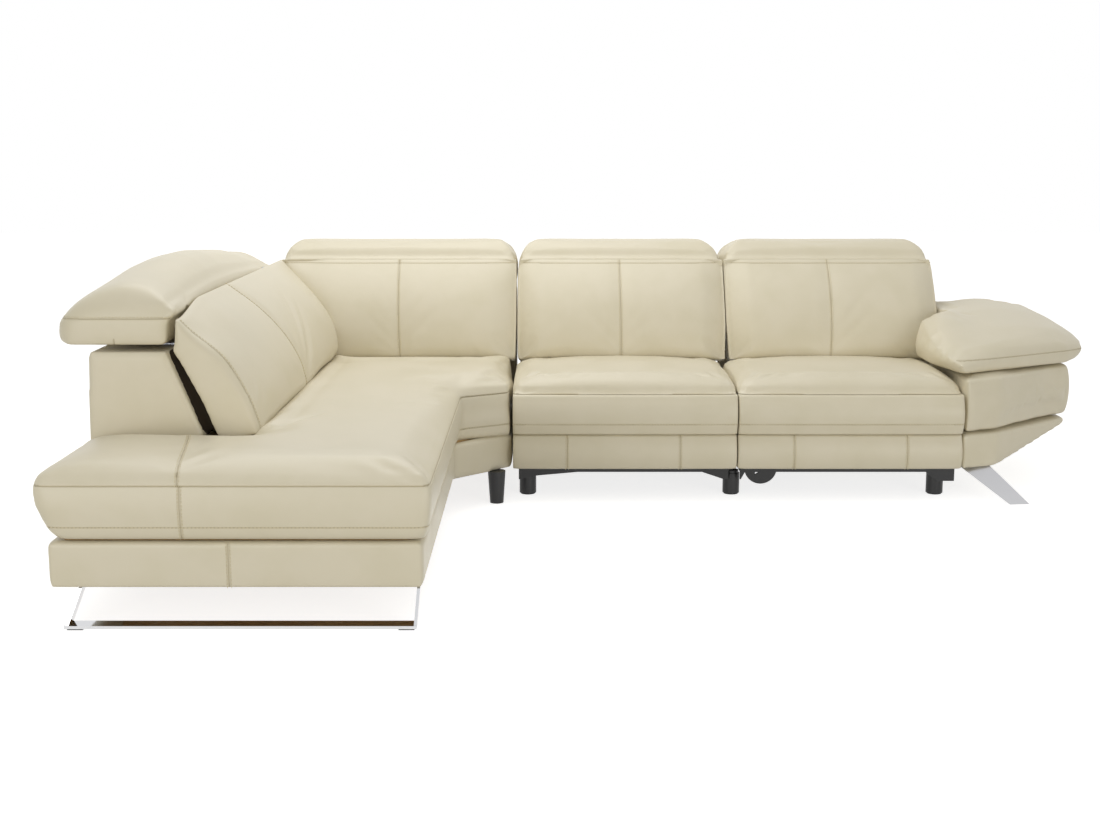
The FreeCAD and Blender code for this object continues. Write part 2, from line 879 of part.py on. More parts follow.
def lobe_plate():
    """The half round plate with a three cornered hole beside the left foot of a unit."""
    disc = rod(("lobe_across", "frame_front + 2", "lobe_height"), "lobe_radius", "rail_depth / 3", Y_AXIS)
    upper = box(
        ("lobe_across - lobe_radius - 1", "frame_front", "rail_bottom + rail_height"),
        ("2 * lobe_radius + 2", "rail_depth", "2 * lobe_radius"),
    )
    hole = prism("XZ_Plane", [
        ("lobe_across - 19", "rail_bottom - 10"),
        ("lobe_across - 19", "rail_bottom - 1"),
        ("lobe_across - 4", "rail_bottom - 1"),
    ], "rail_depth", ("0", "frame_front", "0"), True)
    return cut(disc, [upper, hole])


def steel_base(prefix, start, gussets, extra):
    """The black steel base of a reclining seat with its rails, pivot posts and shaped lugs."""
    parts = []
    depth = f"{ROW_BACK} + back_pivot_setback"
    outline = [
        ("frame_front", "rail_bottom"),
        ("frame_rear", "rail_bottom"),
        ("frame_rear", "rail_bottom + 60"),
        (f"{depth} + 30", "back_pivot_height + 24"),
        (f"{depth} - 30", "back_pivot_height + 24"),
        ("cross_rail_rear + 20", "side_plate_top"),
        ("frame_front + 60", "side_plate_top"),
        ("frame_front", "rail_bottom + rail_height + 20"),
    ]
    for edge in both_sides("side_plate_inset", "side_plate_thickness"):
        parts.append(prism("YZ_Plane", outline, "side_plate_thickness", (edge, "0", "0")))
    boss = "arm_plate_inset - side_plate_inset - 2"
    pin = "arm_plate_inset - side_plate_inset + bracket_thickness + 4"
    for edge in both_sides("side_plate_inset", boss):
        parts.append(rod((edge, depth, "back_pivot_height"), "pivot_boss_radius", boss))
    for edge in both_sides("side_plate_inset", pin):
        parts.append(rod((edge, depth, "back_pivot_height"), "pivot_pin_radius", pin))
    span = "seat_width - 2 * side_plate_inset"
    for at_depth, at_height, rise in (
        ("frame_front", "rail_bottom", "rail_height"),
        ("frame_rear - rail_depth", "rail_bottom", "rail_height"),
        ("cross_rail_front", "side_plate_top - cross_rail_height", "cross_rail_height"),
        ("cross_rail_rear", "side_plate_top - cross_rail_height", "cross_rail_height"),
    ):
        parts.append(box(("side_plate_inset", at_depth, at_height), (span, "rail_depth", rise)))
    for outline_x in gussets:
        parts.append(prism("XZ_Plane", outline_x, "rail_depth / 3", ("0", "frame_front", "0"), True))
    return node(f"{prefix}_steel_base", fuse(parts + extra), (start, "0", "0"))


def seat_frame(prefix, start):
    """The timber seat frame that carries the torque tube, with webbing over it."""
    span = "seat_width - 2 * seat_rail_inset"
    rise = "seat_rail_top - seat_rail_bottom"
    parts = []
    for edge in both_sides("seat_rail_inset", "seat_rail_width"):
        parts.append(box(
            (edge, "seat_frame_front", "seat_rail_bottom"),
            ("seat_rail_width", "seat_frame_rear - seat_frame_front", rise),
        ))
    parts.append(box(
        ("seat_rail_inset", "seat_frame_front", "seat_cross_bottom"),
        (span, "seat_rail_width - 4", "seat_rail_top - seat_cross_bottom"),
    ))
    parts.append(box(
        ("seat_rail_inset", "seat_frame_rear - seat_rail_width", "seat_rail_bottom"),
        (span, "seat_rail_width", rise),
    ))
    bore = rod(
        ("seat_rail_inset - 1", "link_pivot_back", "link_pivot_height"),
        "torque_tube_radius + running_gap",
        f"{span} + 2",
    )
    node(f"{prefix}_seat_frame", cut(fuse(parts), [bore]), (start, "0", "0"))
    strips = []
    for step in range(5):
        strips.append(box(
            ("seat_rail_inset", f"seat_frame_front + 50 + webbing_pitch * {step}", "seat_rail_top"),
            (span, "webbing_width", "webbing_thickness"),
        ))
    node(f"{prefix}_seat_webbing", fuse_group(strips), (start, "0", "0"))


def scissor_links(prefix, start):
    """The two pairs of links, the torque tube between them and the crank that turns it."""
    knee_y, knee_z = joint_position("knee")
    foot_y, foot_z = joint_position("footrest")
    tip_y, tip_z = joint_position("crank")
    front_inset = "rear_link_inset - link_step"
    ear_inset = "rear_link_inset - 2 * link_step"
    play = "link_pin_radius + running_gap"
    turned = [rod(
        ("rear_link_inset", "link_pivot_back", "link_pivot_height"),
        "torque_tube_radius",
        "seat_width - 2 * rear_link_inset",
    )]
    front = []
    for edge in both_sides("rear_link_inset", "link_thickness"):
        turned += link_bar(
            edge, "link_pivot_back", "link_pivot_height", "link_line + link_fold",
            "link_length", "link_thickness", "link_half_width",
        )
    for edge in both_sides(f"{front_inset} - 0.5", "2 * link_thickness"):
        turned.append(rod((edge, knee_y, knee_z), "link_pin_radius", "2 * link_thickness"))
    for edge in both_sides(front_inset, "link_thickness"):
        bar = fuse(link_bar(
            edge, knee_y, knee_z, "link_line - link_fold",
            "link_length", "link_thickness", "link_half_width",
        ))
        bore = rod((f"{edge} - 1", knee_y, knee_z), play, "link_thickness + 2")
        front.append(cut(bar, [bore]))
    pins = []
    for edge in both_sides(f"{ear_inset} - 1", "2 * link_thickness"):
        pins.append(rod((edge, foot_y, foot_z), "link_pin_radius", "2 * link_thickness"))
    middle = "seat_width / 2"
    turned += link_bar(
        f"{middle} - crank_thickness / 2", "link_pivot_back", "link_pivot_height",
        "270 + crank_swing", "crank_length", "crank_thickness", "ear_radius",
    )
    reach = "crank_thickness / 2 + cheek_gap + cheek_thickness + 2"
    turned.append(rod((f"{middle} - ({reach})", tip_y, tip_z), "link_pin_radius", f"2 * ({reach})"))
    node(f"{prefix}_rear_links", fuse(turned), (start, "0", "0"))
    pairs = [fuse([bar, pin]) for bar, pin in zip(front, pins)]
    node(f"{prefix}_front_links", fuse_group(pairs), (start, "0", "0"))


def footrest(prefix, start):
    """The footrest: a steel pan with hinge ears, an upper pad and a lower panel."""
    foot_y, foot_z = joint_position("footrest")
    pan = box(
        ("footrest_end_gap + 6", "footrest_rear - footrest_board_thickness", "footrest_board_bottom"),
        (
            "seat_width - 2 * footrest_end_gap - 12",
            "footrest_board_thickness",
            "footrest_board_top - footrest_board_bottom",
        ),
    )
    parts = [pan]
    bores = []
    for edge in both_sides("rear_link_inset - 2 * link_step", "link_thickness"):
        parts.append(box(
            (edge, "footrest_rear - 1", f"{foot_z} - ear_radius"),
            ("link_thickness", f"{foot_y} - footrest_rear + 1", "2 * ear_radius"),
        ))
        parts.append(rod((edge, foot_y, foot_z), "ear_radius", "link_thickness"))
        bores.append(rod(
            (f"{edge} - 1", foot_y, foot_z), "link_pin_radius + running_gap", "link_thickness + 2",
        ))
    node(f"{prefix}_footrest_pan", cut(fuse(parts), bores), (start, "0", "0"))
    split = amount("base_top")
    front = amount("footrest_front")
    pad = footrest_shape(split + amount("split_gap"), amount("footrest_pad_top"), front, 20)
    soft_node(f"{prefix}_footrest_pad", pad, (start, "0", "0"))
    panel = footrest_shape(amount("footrest_panel_bottom"), split, front + 7, 12)
    soft_node(f"{prefix}_footrest_panel", panel, (start, "0", "0"))


def footrest_drive(prefix, start):
    """The motor with its rail, and the slotted block that pushes the crank."""
    tip_y, tip_z = joint_position("crank")
    middle = "seat_width / 2"
    rail_at = (middle, "frame_front + 1", "drive_rail_height")
    rail = rod(rail_at, "drive_rail_radius", "cross_rail_front - frame_front + 10", Y_AXIS)
    front = box(
        (f"{middle} - 12", "frame_front + 1", "rail_bottom + rail_height"),
        ("24", "hanger_depth", "drive_rail_height - rail_bottom - rail_height + 9"),
    )
    motor = box(
        (f"{middle} - motor_width / 2", "cross_rail_front + 5", "drive_rail_height - motor_width / 2"),
        ("motor_width", "motor_length", "motor_width"),
    )
    hanger = box(
        (f"{middle} - 20", "cross_rail_front + 5", "drive_rail_height"),
        ("40", "hanger_depth", "side_plate_top - cross_rail_height - drive_rail_height"),
    )
    node(f"{prefix}_drive_rail", fuse([rail, front, motor, hanger]), (start, "0", "0"))
    body = box(
        (f"{middle} - block_width / 2", f"{tip_y} - block_length / 2", "block_bottom"),
        ("block_width", "block_length", "block_shoulder - block_bottom"),
    )
    parts = [body]
    for edge in (
        f"{middle} - crank_thickness / 2 - cheek_gap - cheek_thickness",
        f"{middle} + crank_thickness / 2 + cheek_gap",
    ):
        parts.append(box(
            (edge, f"{tip_y} - block_length / 2", "block_shoulder"),
            ("cheek_thickness", "block_length", "block_top - block_shoulder"),
        ))
    low = "link_pivot_height - crank_length - link_pin_radius - slot_gap"
    slot = box(
        (f"{middle} - block_width / 2", f"{tip_y} - link_pin_radius - slot_gap", low),
        (
            "block_width",
            "2 * link_pin_radius + 2 * slot_gap",
            f"{tip_z} - link_pivot_height + crank_length + 2 * link_pin_radius + 2 * slot_gap",
        ),
    )
    bore = rod(
        (middle, f"{tip_y} - block_length", "drive_rail_height"),
        "drive_rail_radius + running_gap",
        "2 * block_length",
        Y_AXIS,
    )
    node(f"{prefix}_drive_block", cut(fuse(parts), [slot, bore]), (start, "0", "0"))


def back_arms(prefix, start):
    """The two steel arms that carry a reclining back on its pivots."""
    arms = []
    for edge in both_sides("arm_plate_inset", "bracket_thickness"):
        plate = prism("YZ_Plane", [
            ("back_pivot_setback - pivot_boss_radius", "back_pivot_height"),
            ("back_pivot_setback + pivot_boss_radius", "back_pivot_height"),
            ("back_depth - flap_depth - 24", "board_bottom - 24"),
            ("back_depth - flap_depth - 24", "board_bottom"),
            ("back_pivot_setback - pivot_boss_radius", "board_bottom"),
        ], "bracket_thickness", (edge, "0", "0"))
        eye = rod((edge, "back_pivot_setback", "back_pivot_height"), "pivot_boss_radius", "bracket_thickness")
        bore = rod(
            (f"{edge} - 1", "back_pivot_setback", "back_pivot_height"),
            "pivot_pin_radius + running_gap",
            "bracket_thickness + 2",
        )
        arms.append((plate, eye, bore))
    flanges = []
    for edge in both_sides("arm_plate_inset", "bracket_width"):
        flanges.append(box(
            (edge, "back_pivot_setback", "board_bottom - bracket_thickness"),
            ("bracket_width", "back_depth - flap_depth - 30 - back_pivot_setback", "bracket_thickness"),
        ))
    pair = [cut(fuse([plate, eye, flange]), [bore]) for (plate, eye, bore), flange in zip(arms, flanges)]
    node(f"{prefix}_back_arms", fuse_group(pair), (start, ROW_BACK, "0"))


def reclining_unit(prefix, start, back_start, back_length, feet, gussets, extra):
    """One reclining seat with everything that moves on it."""
    steel_base(prefix, start, gussets, extra)
    legs = []
    for across in feet:
        for depth in ("foot_front", "foot_rear"):
            pad = rod((across, depth, "0"), "foot_radius - foot_edge", "rail_bottom", Z_AXIS)
            collar = rod((across, depth, "foot_edge"), "foot_radius", "foot_height - 2 * foot_edge", Z_AXIS)
            legs.append(fuse([pad, collar]))
    node(f"{prefix}_feet", fuse_group(legs), (start, "0", "0"))
    seat_frame(prefix, start)
    soft_node(f"{prefix}_seat_cushion", seat_cushion_shape(), (start, "0", "0"))
    scissor_links(prefix, start)
    footrest(prefix, start)
    footrest_drive(prefix, start)
    back_arms(prefix, start)
    at = (back_start, ROW_BACK, "0")
    node(f"{prefix}_back_shell", shell(f"({start} + seat_width - {back_start} - shell_end_gap)", False), at)
    soft_node(f"{prefix}_back_cushion", back_cushion_shape(amount(back_length)), at)
    headrest_nodes(prefix, back_length, at, 0)


# Slanted arm, legs and the pieces that join the units

def arm_outline(inset):
    """The plan of the arm with its slanted front, moved inwards by an inset."""
    return [
        ("arm_inner", f"row_front + {inset}"),
        ("arm_knee", f"arm_knee_front + {inset} * 1.3"),
        (f"arm_outer - {inset}", f"arm_shoulder_front + {inset} * 0.4"),
        (f"arm_outer - {inset}", f"base_rear - {inset}"),
        ("arm_inner", f"base_rear - {inset}"),
    ]


def arm_pad_shape():
    """The sloping arm pad, lofted through upright sections from its front to its rear."""
    seam = amount("arm_pad_seam")
    ridge = amount("arm_pad_ridge")
    low = amount("arm_body_top")
    inner = amount("arm_inner")
    outer = amount("arm_outer")
    stations = (
        ((inner - 4, 60), (outer + 24, 374), seam - 14, seam + 4),
        ((inner - 26, 92), (outer + 56, 394), seam + 4, seam + 34),
        ((inner - 68, 290), (outer + 64, 470), seam + 28, seam + 76),
        ((inner - 72, 500), (outer + 44, 690), seam + 58, ridge - 18),
        ((inner - 4, 800), (outer - 20, 925), ridge - 34, ridge),
        ((inner + 36, 880), (outer - 56, 985), ridge - 90, ridge - 50),
    )
    wires = []
    for (inner_x, inner_y), (outer_x, outer_y), side, top in stations:
        near = Vector(inner_x, inner_y, side)
        far = Vector(outer_x, outer_y, side)
        along = (far - near).normalize()
        near_low = Vector(near.x, near.y, low) + along * 26
        far_low = Vector(far.x, far.y, low) - along * 44
        middle = (near + far) * 0.5
        middle.z = top
        wires.append(closed_wire(near_low, [far_low, far, (middle, near)]))
    pad = Part.makeLoft(wires, True, True)
    notch_x = inner + amount("arm_notch")
    notch = Part.makeBox(600, 900, 400, Vector(notch_x - 600, amount("arm_notch_front") + 10, low - 20))
    return pad.cut(notch)


def slanted_bar(foot, top, rise, low=0.0):
    """A solid between a rectangle on the floor side and a rectangle at the top."""
    wires = []
    for corners, height in ((foot, low), (top, rise)):
        points = [Vector(across, depth, height) for across, depth in corners]
        wires.append(closed_wire(points[0], points[1:] + [points[0]]))
    return Part.makeLoft(wires, True, True)


def rectangle(left, right, front, rear):
    """The corners of a rectangle in plan."""
    return ((left, front), (right, front), (right, rear), (left, rear))


def arm_unit():
    """The slanted arm: two upholstered panels, the pad and the legs."""
    lower = prism("XY_Plane", arm_outline("0"), "base_top - base_bottom", ("0", "0", "base_bottom"))
    through_cut(lower, "XZ_Plane", [
        ("arm_knee", "-1"),
        ("arm_outer + 20", "-1"),
        ("arm_outer + 20", "arm_underside_rise + 4"),
    ])
    core = prism("XY_Plane", arm_outline("panel_thickness"), "split_gap + 1", ("0", "0", "base_top - 1"))
    node("arm_lower_panel", fuse([lower, core]))
    body = prism(
        "XY_Plane", arm_outline("4"), "arm_body_top - base_top - split_gap",
        ("0", "0", "base_top + split_gap"),
    )
    notch = box(
        ("arm_inner - 1", "arm_notch_front", "arm_body_top - arm_notch_drop"),
        ("arm_notch + 1", "base_rear", "arm_notch_drop + 1"),
    )
    node("arm_side_panel", cut(body, [notch]))
    soft_node("arm_pad", arm_pad_shape())
    inner = amount("arm_inner + 6")
    width = amount("arm_leg_top_width")
    foot_width = amount("arm_leg_foot_width")
    thick = amount("arm_leg_thickness")
    splay = amount("arm_leg_splay")
    lean = amount("arm_leg_lean")
    base = amount("base_bottom")
    front = amount("row_front") + 26
    top = ((inner, front), (inner + width, front + 22), (inner + width, front + 22 + thick), (inner, front + thick))
    left = inner + splay
    foot_y = front - lean
    foot = (
        (left, foot_y),
        (left + foot_width, foot_y + 6),
        (left + foot_width, foot_y + 6 + thick),
        (left, foot_y + thick),
    )
    soft_node("arm_front_leg", slanted_bar(foot, top, base))
    rear_leg = cone(
        ("arm_inner + 70", "base_rear - 60", "0"), "leg_foot_radius", "leg_top_radius", "base_bottom",
    )
    node("arm_rear_leg", fuse_group([rear_leg]))


def chaise_legs():
    """The flat bar sled under the chaise with its glides, and the tapered legs."""
    width = amount("sled_bar_width")
    thick = amount("sled_bar_thickness")
    low = amount("glide_height")
    front = -amount("sled_foot_front")
    lean = amount("sled_lean")
    rise = amount("base_bottom")
    foot_left = -amount("sled_foot_left")
    foot_right = -amount("sled_foot_right")
    top_left = -amount("sled_top_left")
    top_right = -amount("sled_top_right")
    foot = Part.makeBox(foot_right - foot_left, width, thick, Vector(foot_left, front, low))
    left_leg = slanted_bar(
        rectangle(foot_left, foot_left + thick, front, front + width),
        rectangle(top_left, top_left + thick, front + lean, front + lean + width), rise, low,
    )
    right_leg = slanted_bar(
        rectangle(foot_right - thick, foot_right, front, front + width),
        rectangle(top_right - thick, top_right, front + lean, front + lean + width), rise, low,
    )
    soft_node("sled_leg", foot.fuse([left_leg, right_leg]).removeSplitter())
    glides = []
    for edge in ("-sled_foot_left + 6", "-sled_foot_right - glide_length - 6"):
        glides.append(box(
            (edge, "-sled_foot_front + 4", "0"),
            ("glide_length", "sled_bar_width - 8", "glide_height"),
        ))
    node("sled_glides", fuse_group(glides))
    corner = cone(ORIGIN, "leg_foot_radius", "leg_top_radius", "base_bottom")
    node("corner_front_leg", fuse_group([corner]))
    rear = []
    for across, depth in (
        ("-base_left + leg_top_radius", "base_rear - leg_top_radius"),
        ("corner_back_end - leg_top_radius", "base_rear - leg_top_radius"),
        ("-base_left + leg_top_radius", "-chaise_back_end"),
    ):
        rear.append(cone((across, depth, "0"), "leg_foot_radius", "leg_top_radius", "base_bottom"))
    node("chaise_rear_legs", fuse_group(rear))


def unit_connectors():
    """Steel connectors that hold the chaise, the two seats and the arm together."""
    second = "row_start + seat_width + unit_gap"
    joints = (
        ("corner_back_end", "row_start + side_plate_inset - corner_back_end"),
        ("row_start + seat_width - side_plate_inset", "unit_gap + 2 * side_plate_inset"),
        (f"{second} + seat_width - side_plate_inset", f"arm_inner - ({second} + seat_width - side_plate_inset)"),
    )
    rods = []
    for start, length in joints:
        for depth in (420, 760):
            rods.append(rod((start, str(depth), "base_bottom + 60"), "connector_radius", length))
    node("unit_connectors", fuse_group(rods))


# The whole sofa

chaise_base()
corner_backs()
chaise_legs()
reclining_unit(
    "mid",
    "row_start",
    "mid_back_start",
    "mid_back_length",
    ("foot_inset + 16", "seat_width - 4"),
    mid_lugs(),
    [],
)
reclining_unit(
    "right",
    "row_start + seat_width + unit_gap",
    "right_back_start",
    "right_back_length",
    ("seat_width - foot_inset - 26",),
    right_lugs(),
    [lobe_plate()],
)
arm_unit()
unit_connectors()

doc.recompute()

os.makedirs("parts", exist_ok=True)
for item in NODES:
    trouble = [word for word in item.State if word in ("Invalid", "Error")]
    if trouble:
        raise ValueError(f"{item.Label} did not rebuild: {trouble}")
    if item.Shape.isNull() or not item.Shape.isValid():
        raise ValueError(f"{item.Label} has no valid shape")
    if not item.Shape.Solids:
        raise ValueError(f"{item.Label} has no solid")
    item.Shape.exportStep(f"parts/{item.Label}.step")
    extent = item.Shape.BoundBox
    print(
        item.Label,
        len(item.Shape.Solids),
        [round(edge) for edge in (extent.XMin, extent.XMax, extent.YMin, extent.YMax, extent.ZMin, extent.ZMax)],
    )
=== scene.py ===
"""Looks of a cream leather corner sofa with two reclining seats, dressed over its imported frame."""

import json
import logging
import math
from dataclasses import dataclass, field
from enum import Enum
from typing import Callable, Iterable, Sequence

import bmesh
import bpy
import numpy as np
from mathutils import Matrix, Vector


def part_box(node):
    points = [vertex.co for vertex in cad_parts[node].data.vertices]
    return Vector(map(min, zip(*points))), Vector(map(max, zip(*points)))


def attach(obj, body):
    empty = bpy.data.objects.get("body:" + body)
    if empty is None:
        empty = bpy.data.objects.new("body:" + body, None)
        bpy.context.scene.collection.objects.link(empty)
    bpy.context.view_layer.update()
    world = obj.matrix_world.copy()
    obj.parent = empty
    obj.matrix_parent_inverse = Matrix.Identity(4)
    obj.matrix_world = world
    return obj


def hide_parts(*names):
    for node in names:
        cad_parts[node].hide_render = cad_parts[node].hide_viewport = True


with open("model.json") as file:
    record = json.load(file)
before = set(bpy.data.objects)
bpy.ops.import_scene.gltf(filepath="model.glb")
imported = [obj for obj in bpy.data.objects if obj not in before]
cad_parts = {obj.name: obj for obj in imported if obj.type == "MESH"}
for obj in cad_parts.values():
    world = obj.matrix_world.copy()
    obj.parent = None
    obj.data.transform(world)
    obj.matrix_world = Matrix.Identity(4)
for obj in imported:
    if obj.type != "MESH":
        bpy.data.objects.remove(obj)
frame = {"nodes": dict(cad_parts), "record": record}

LOG = logging.getLogger("sofa")
Point = tuple[float, float, float]


# Colour and node helpers

def linear(hex_colour: str) -> tuple[float, float, float, float]:
    """Turns an sRGB hex colour into the linear colour a shader socket takes.

    Args:
        hex_colour: Six hex digits, with or without a leading mark.

    Returns:
        Red, green, blue and an alpha of one.
    """
    digits = hex_colour.lstrip("#")
    channels = [int(digits[index:index + 2], 16) / 255 for index in (0, 2, 4)]
    shades = [
        value / 12.92 if value <= 0.04045 else ((value + 0.055) / 1.055) ** 2.4
        for value in channels
    ]
    return shades[0], shades[1], shades[2], 1.0


def add_node(
    tree: bpy.types.NodeTree,
    kind: str,
    settings: dict[str, object] | None = None,
    values: dict[str | int, object] | None = None,
    links: dict[str | int, bpy.types.NodeSocket] | None = None,
) -> bpy.types.Node:
    """Adds one node with its settings, socket values and incoming links.

    Args:
        tree: The material or geometry tree that takes the node.
        kind: The node's type name.
        settings: Properties of the node itself.
        values: Defaults of its input sockets, by name or number.
        links: Output sockets of other nodes, by the input they feed.

    Returns:
        The new node.
    """
    item = tree.nodes.new(kind)
    for name, value in (settings or {}).items():
        setattr(item, name, value)
    for name, value in (values or {}).items():
        item.inputs[name].default_value = value
    for name, socket in (links or {}).items():
        tree.links.new(socket, item.inputs[name])
    return item


def new_material(name: str) -> tuple[bpy.types.Material, bpy.types.NodeTree]:
    """Makes an empty node material.

    Args:
        name: The material's name.

    Returns:
        The material and its cleared tree.
    """
    material = bpy.data.materials.new(name)
    material.use_nodes = True
    material.node_tree.nodes.clear()
    return material, material.node_tree


def close_material(tree: bpy.types.NodeTree, shader: bpy.types.Node) -> None:
    """Leads a shader to the material's output.

    Args:
        tree: The material's tree.
        shader: The node whose first output is the surface.
    """
    add_node(tree, "ShaderNodeOutputMaterial", links={"Surface": shader.outputs[0]})


def object_place(tree: bpy.types.NodeTree) -> bpy.types.NodeSocket:
    """The place on the object itself, in metres."""
    return add_node(tree, "ShaderNodeTexCoord").outputs["Object"]


def stretched(
    tree: bpy.types.NodeTree, place: bpy.types.NodeSocket, scale: Point,
) -> bpy.types.NodeSocket:
    """A place scaled along each axis; a scale under one draws a pattern out."""
    return add_node(
        tree, "ShaderNodeMapping", values={"Scale": scale}, links={"Vector": place},
    ).outputs[0]


def noise(
    tree: bpy.types.NodeTree,
    place: bpy.types.NodeSocket,
    size_mm: float,
    detail: float,
    roughness: float = 0.5,
    distortion: float = 0.0,
) -> bpy.types.NodeSocket:
    """Soft noise whose features have a real size.

    Args:
        tree: The material's tree.
        place: Where the noise is read.
        size_mm: The width of its features in millimetres.
        detail: How many finer layers it has.
        roughness: How strong the finer layers are.
        distortion: How far it is swirled.

    Returns:
        The noise, from about 0 to 1.
    """
    return add_node(
        tree, "ShaderNodeTexNoise",
        values={
            "Scale": 1000 / size_mm, "Detail": detail,
            "Roughness": roughness, "Distortion": distortion,
        },
        links={"Vector": place},
    ).outputs[0]


def blend(
    tree: bpy.types.NodeTree, share: bpy.types.NodeSocket, low: str, high: str,
) -> bpy.types.NodeSocket:
    """A mix of two sRGB hex colours.

    Args:
        tree: The material's tree.
        share: How much of the second colour shows.
        low: The first colour.
        high: The second colour.

    Returns:
        The mixed colour.
    """
    return add_node(
        tree, "ShaderNodeMix", settings={"data_type": "RGBA"},
        values={6: linear(low), 7: linear(high)}, links={0: share},
    ).outputs[2]


def relief(
    tree: bpy.types.NodeTree,
    height: bpy.types.NodeSocket,
    strength: float,
    depth: float,
    normal: bpy.types.NodeSocket | None = None,
) -> bpy.types.NodeSocket:
    """A fine surface texture.

    Args:
        tree: The material's tree.
        height: The height of the texture, from 0 to 1.
        strength: How much of it shows.
        depth: Its depth in metres.
        normal: A texture that it lies over, if any.

    Returns:
        The tilted normal.
    """
    links = {"Height": height}
    if normal is not None:
        links["Normal"] = normal
    return add_node(
        tree, "ShaderNodeBump", values={"Strength": strength, "Distance": depth}, links=links,
    ).outputs[0]


def rubbed(
    tree: bpy.types.NodeTree, share: bpy.types.NodeSocket, low: float, high: float,
) -> bpy.types.NodeSocket:
    """A roughness that drifts with a soft noise.

    Args:
        tree: The material's tree.
        share: The noise.
        low: The smoothest value.
        high: The roughest value.

    Returns:
        The roughness.
    """
    return add_node(
        tree, "ShaderNodeMapRange",
        values={"From Min": 0.3, "From Max": 0.7, "To Min": low, "To Max": high},
        links={"Value": share},
    ).outputs[0]


def surface(
    tree: bpy.types.NodeTree,
    values: dict[str, float],
    links: dict[str, bpy.types.NodeSocket],
) -> None:
    """Ends a material in one surface.

    Args:
        tree: The material's tree.
        values: What is the same all over.
        links: What varies.
    """
    close_material(tree, add_node(tree, "ShaderNodeBsdfPrincipled", values=values, links=links))


# Finishes

@dataclass(frozen=True)
class Leather:
    """Corrected grain cow hide, dyed through and lightly waxed, in one shade of cream."""

    name: str
    face: str = "#DCD3BA"
    deep: str = "#D8CFB4"
    # Colour of the painted shade in the sunk groove of each seam.
    seam: str = "#B0A27E"
    patch_mm: float = 130.0
    grain_mm: float = 2.6
    grain_depth_mm: float = 0.10
    crease_mm: float = 42.0
    crease_depth_mm: float = 1.2
    roughness: float = 0.40

    def build(self) -> bpy.types.Material:
        """Builds the hide: soft dye mottling, a pebbled grain and painted shade in the sunk groove
        of each seam.

        Returns:
            The material.
        """
        material, tree = new_material(self.name)
        place = object_place(tree)
        # Dye takes unevenly over a hide, in soft patches about a hand wide.
        patches = noise(tree, place, self.patch_mm, 3.0)
        tone = add_node(tree, "ShaderNodeValToRGB", links={"Fac": patches})
        shades = ((0.32, self.deep), (0.62, self.face))
        for stop, (position, shade) in zip(tone.color_ramp.elements, shades):
            stop.position = position
            stop.color = linear(shade)
        # Painted shade: the points that each seam sinks are darkened towards the seam colour,
        # standing in for the shade in its groove.
        groove_shade = add_node(tree, "ShaderNodeAttribute", settings={"attribute_name": "seam"})
        stitched = add_node(
            tree, "ShaderNodeMix", settings={"data_type": "RGBA"},
            values={7: linear(self.seam)},
            links={0: groove_shade.outputs["Fac"], 6: tone.outputs["Color"]},
        )
        # Pores of a real hide are about 0.8 mm apart; drawn coarser so that they show at all.
        pores = add_node(
            tree, "ShaderNodeTexVoronoi", settings={"feature": "SMOOTH_F1"},
            values={"Scale": 1000 / self.grain_mm, "Smoothness": 0.6, "Randomness": 1.0},
            links={"Vector": place},
        )
        creases = noise(tree, place, self.crease_mm, 4.0, 0.55)
        grain = relief(tree, pores.outputs["Distance"], 0.30, self.grain_depth_mm / 1000)
        surface(
            tree,
            {"Specular IOR Level": 0.42, "Sheen Weight": 0.05, "Sheen Roughness": 0.5},
            {
                "Base Color": stitched.outputs[2],
                "Roughness": rubbed(
                    tree, patches, self.roughness - 0.05, self.roughness + 0.06,
                ),
                "Normal": relief(tree, creases, 0.35, self.crease_depth_mm / 1000, grain),
            },
        )
        return material


@dataclass(frozen=True)
class Coating:
    """A hard finish: a base colour with slight mottling, and a fine surface texture."""

    name: str
    face: str
    deep: str
    roughness: float
    metallic: float = 0.0
    grit_mm: float = 1.2
    grit_depth_mm: float = 0.05
    stretch: Point = (1.0, 1.0, 1.0)
    wear_mm: float = 60.0

    def build(self) -> bpy.types.Material:
        """Builds the finish.

        Returns:
            The material.
        """
        material, tree = new_material(self.name)
        along = stretched(tree, object_place(tree), self.stretch)
        grit = noise(tree, along, self.grit_mm, 2.0, 0.6)
        wear = noise(tree, along, self.wear_mm, 3.0)
        surface(
            tree,
            {"Metallic": self.metallic},
            {
                "Base Color": blend(tree, wear, self.deep, self.face),
                "Roughness": rubbed(
                    tree, wear, max(self.roughness - 0.05, 0.02), self.roughness + 0.05,
                ),
                "Normal": relief(tree, grit, 0.4, self.grit_depth_mm / 1000),
            },
        )
        return material


@dataclass(frozen=True)
class Timber:
    """Planed softwood and birch plywood, unvarnished, with its growth rings drawn as long bands."""

    name: str = "planed_pine"
    face: str = "#D8B987"
    deep: str = "#B98F58"
    ring_mm: float = 7.0
    ring_stretch: float = 0.06

    def build(self) -> bpy.types.Material:
        """Builds the timber.

        Returns:
            The material.
        """
        material, tree = new_material(self.name)
        along = stretched(tree, object_place(tree), (self.ring_stretch, 1.0, 1.0))
        rings = noise(tree, along, self.ring_mm, 5.0, distortion=0.6)
        surface(
            tree,
            {"Roughness": 0.62},
            {
                "Base Color": blend(tree, rings, self.deep, self.face),
                "Normal": relief(tree, rings, 0.3, 0.0003),
            },
        )
        return material


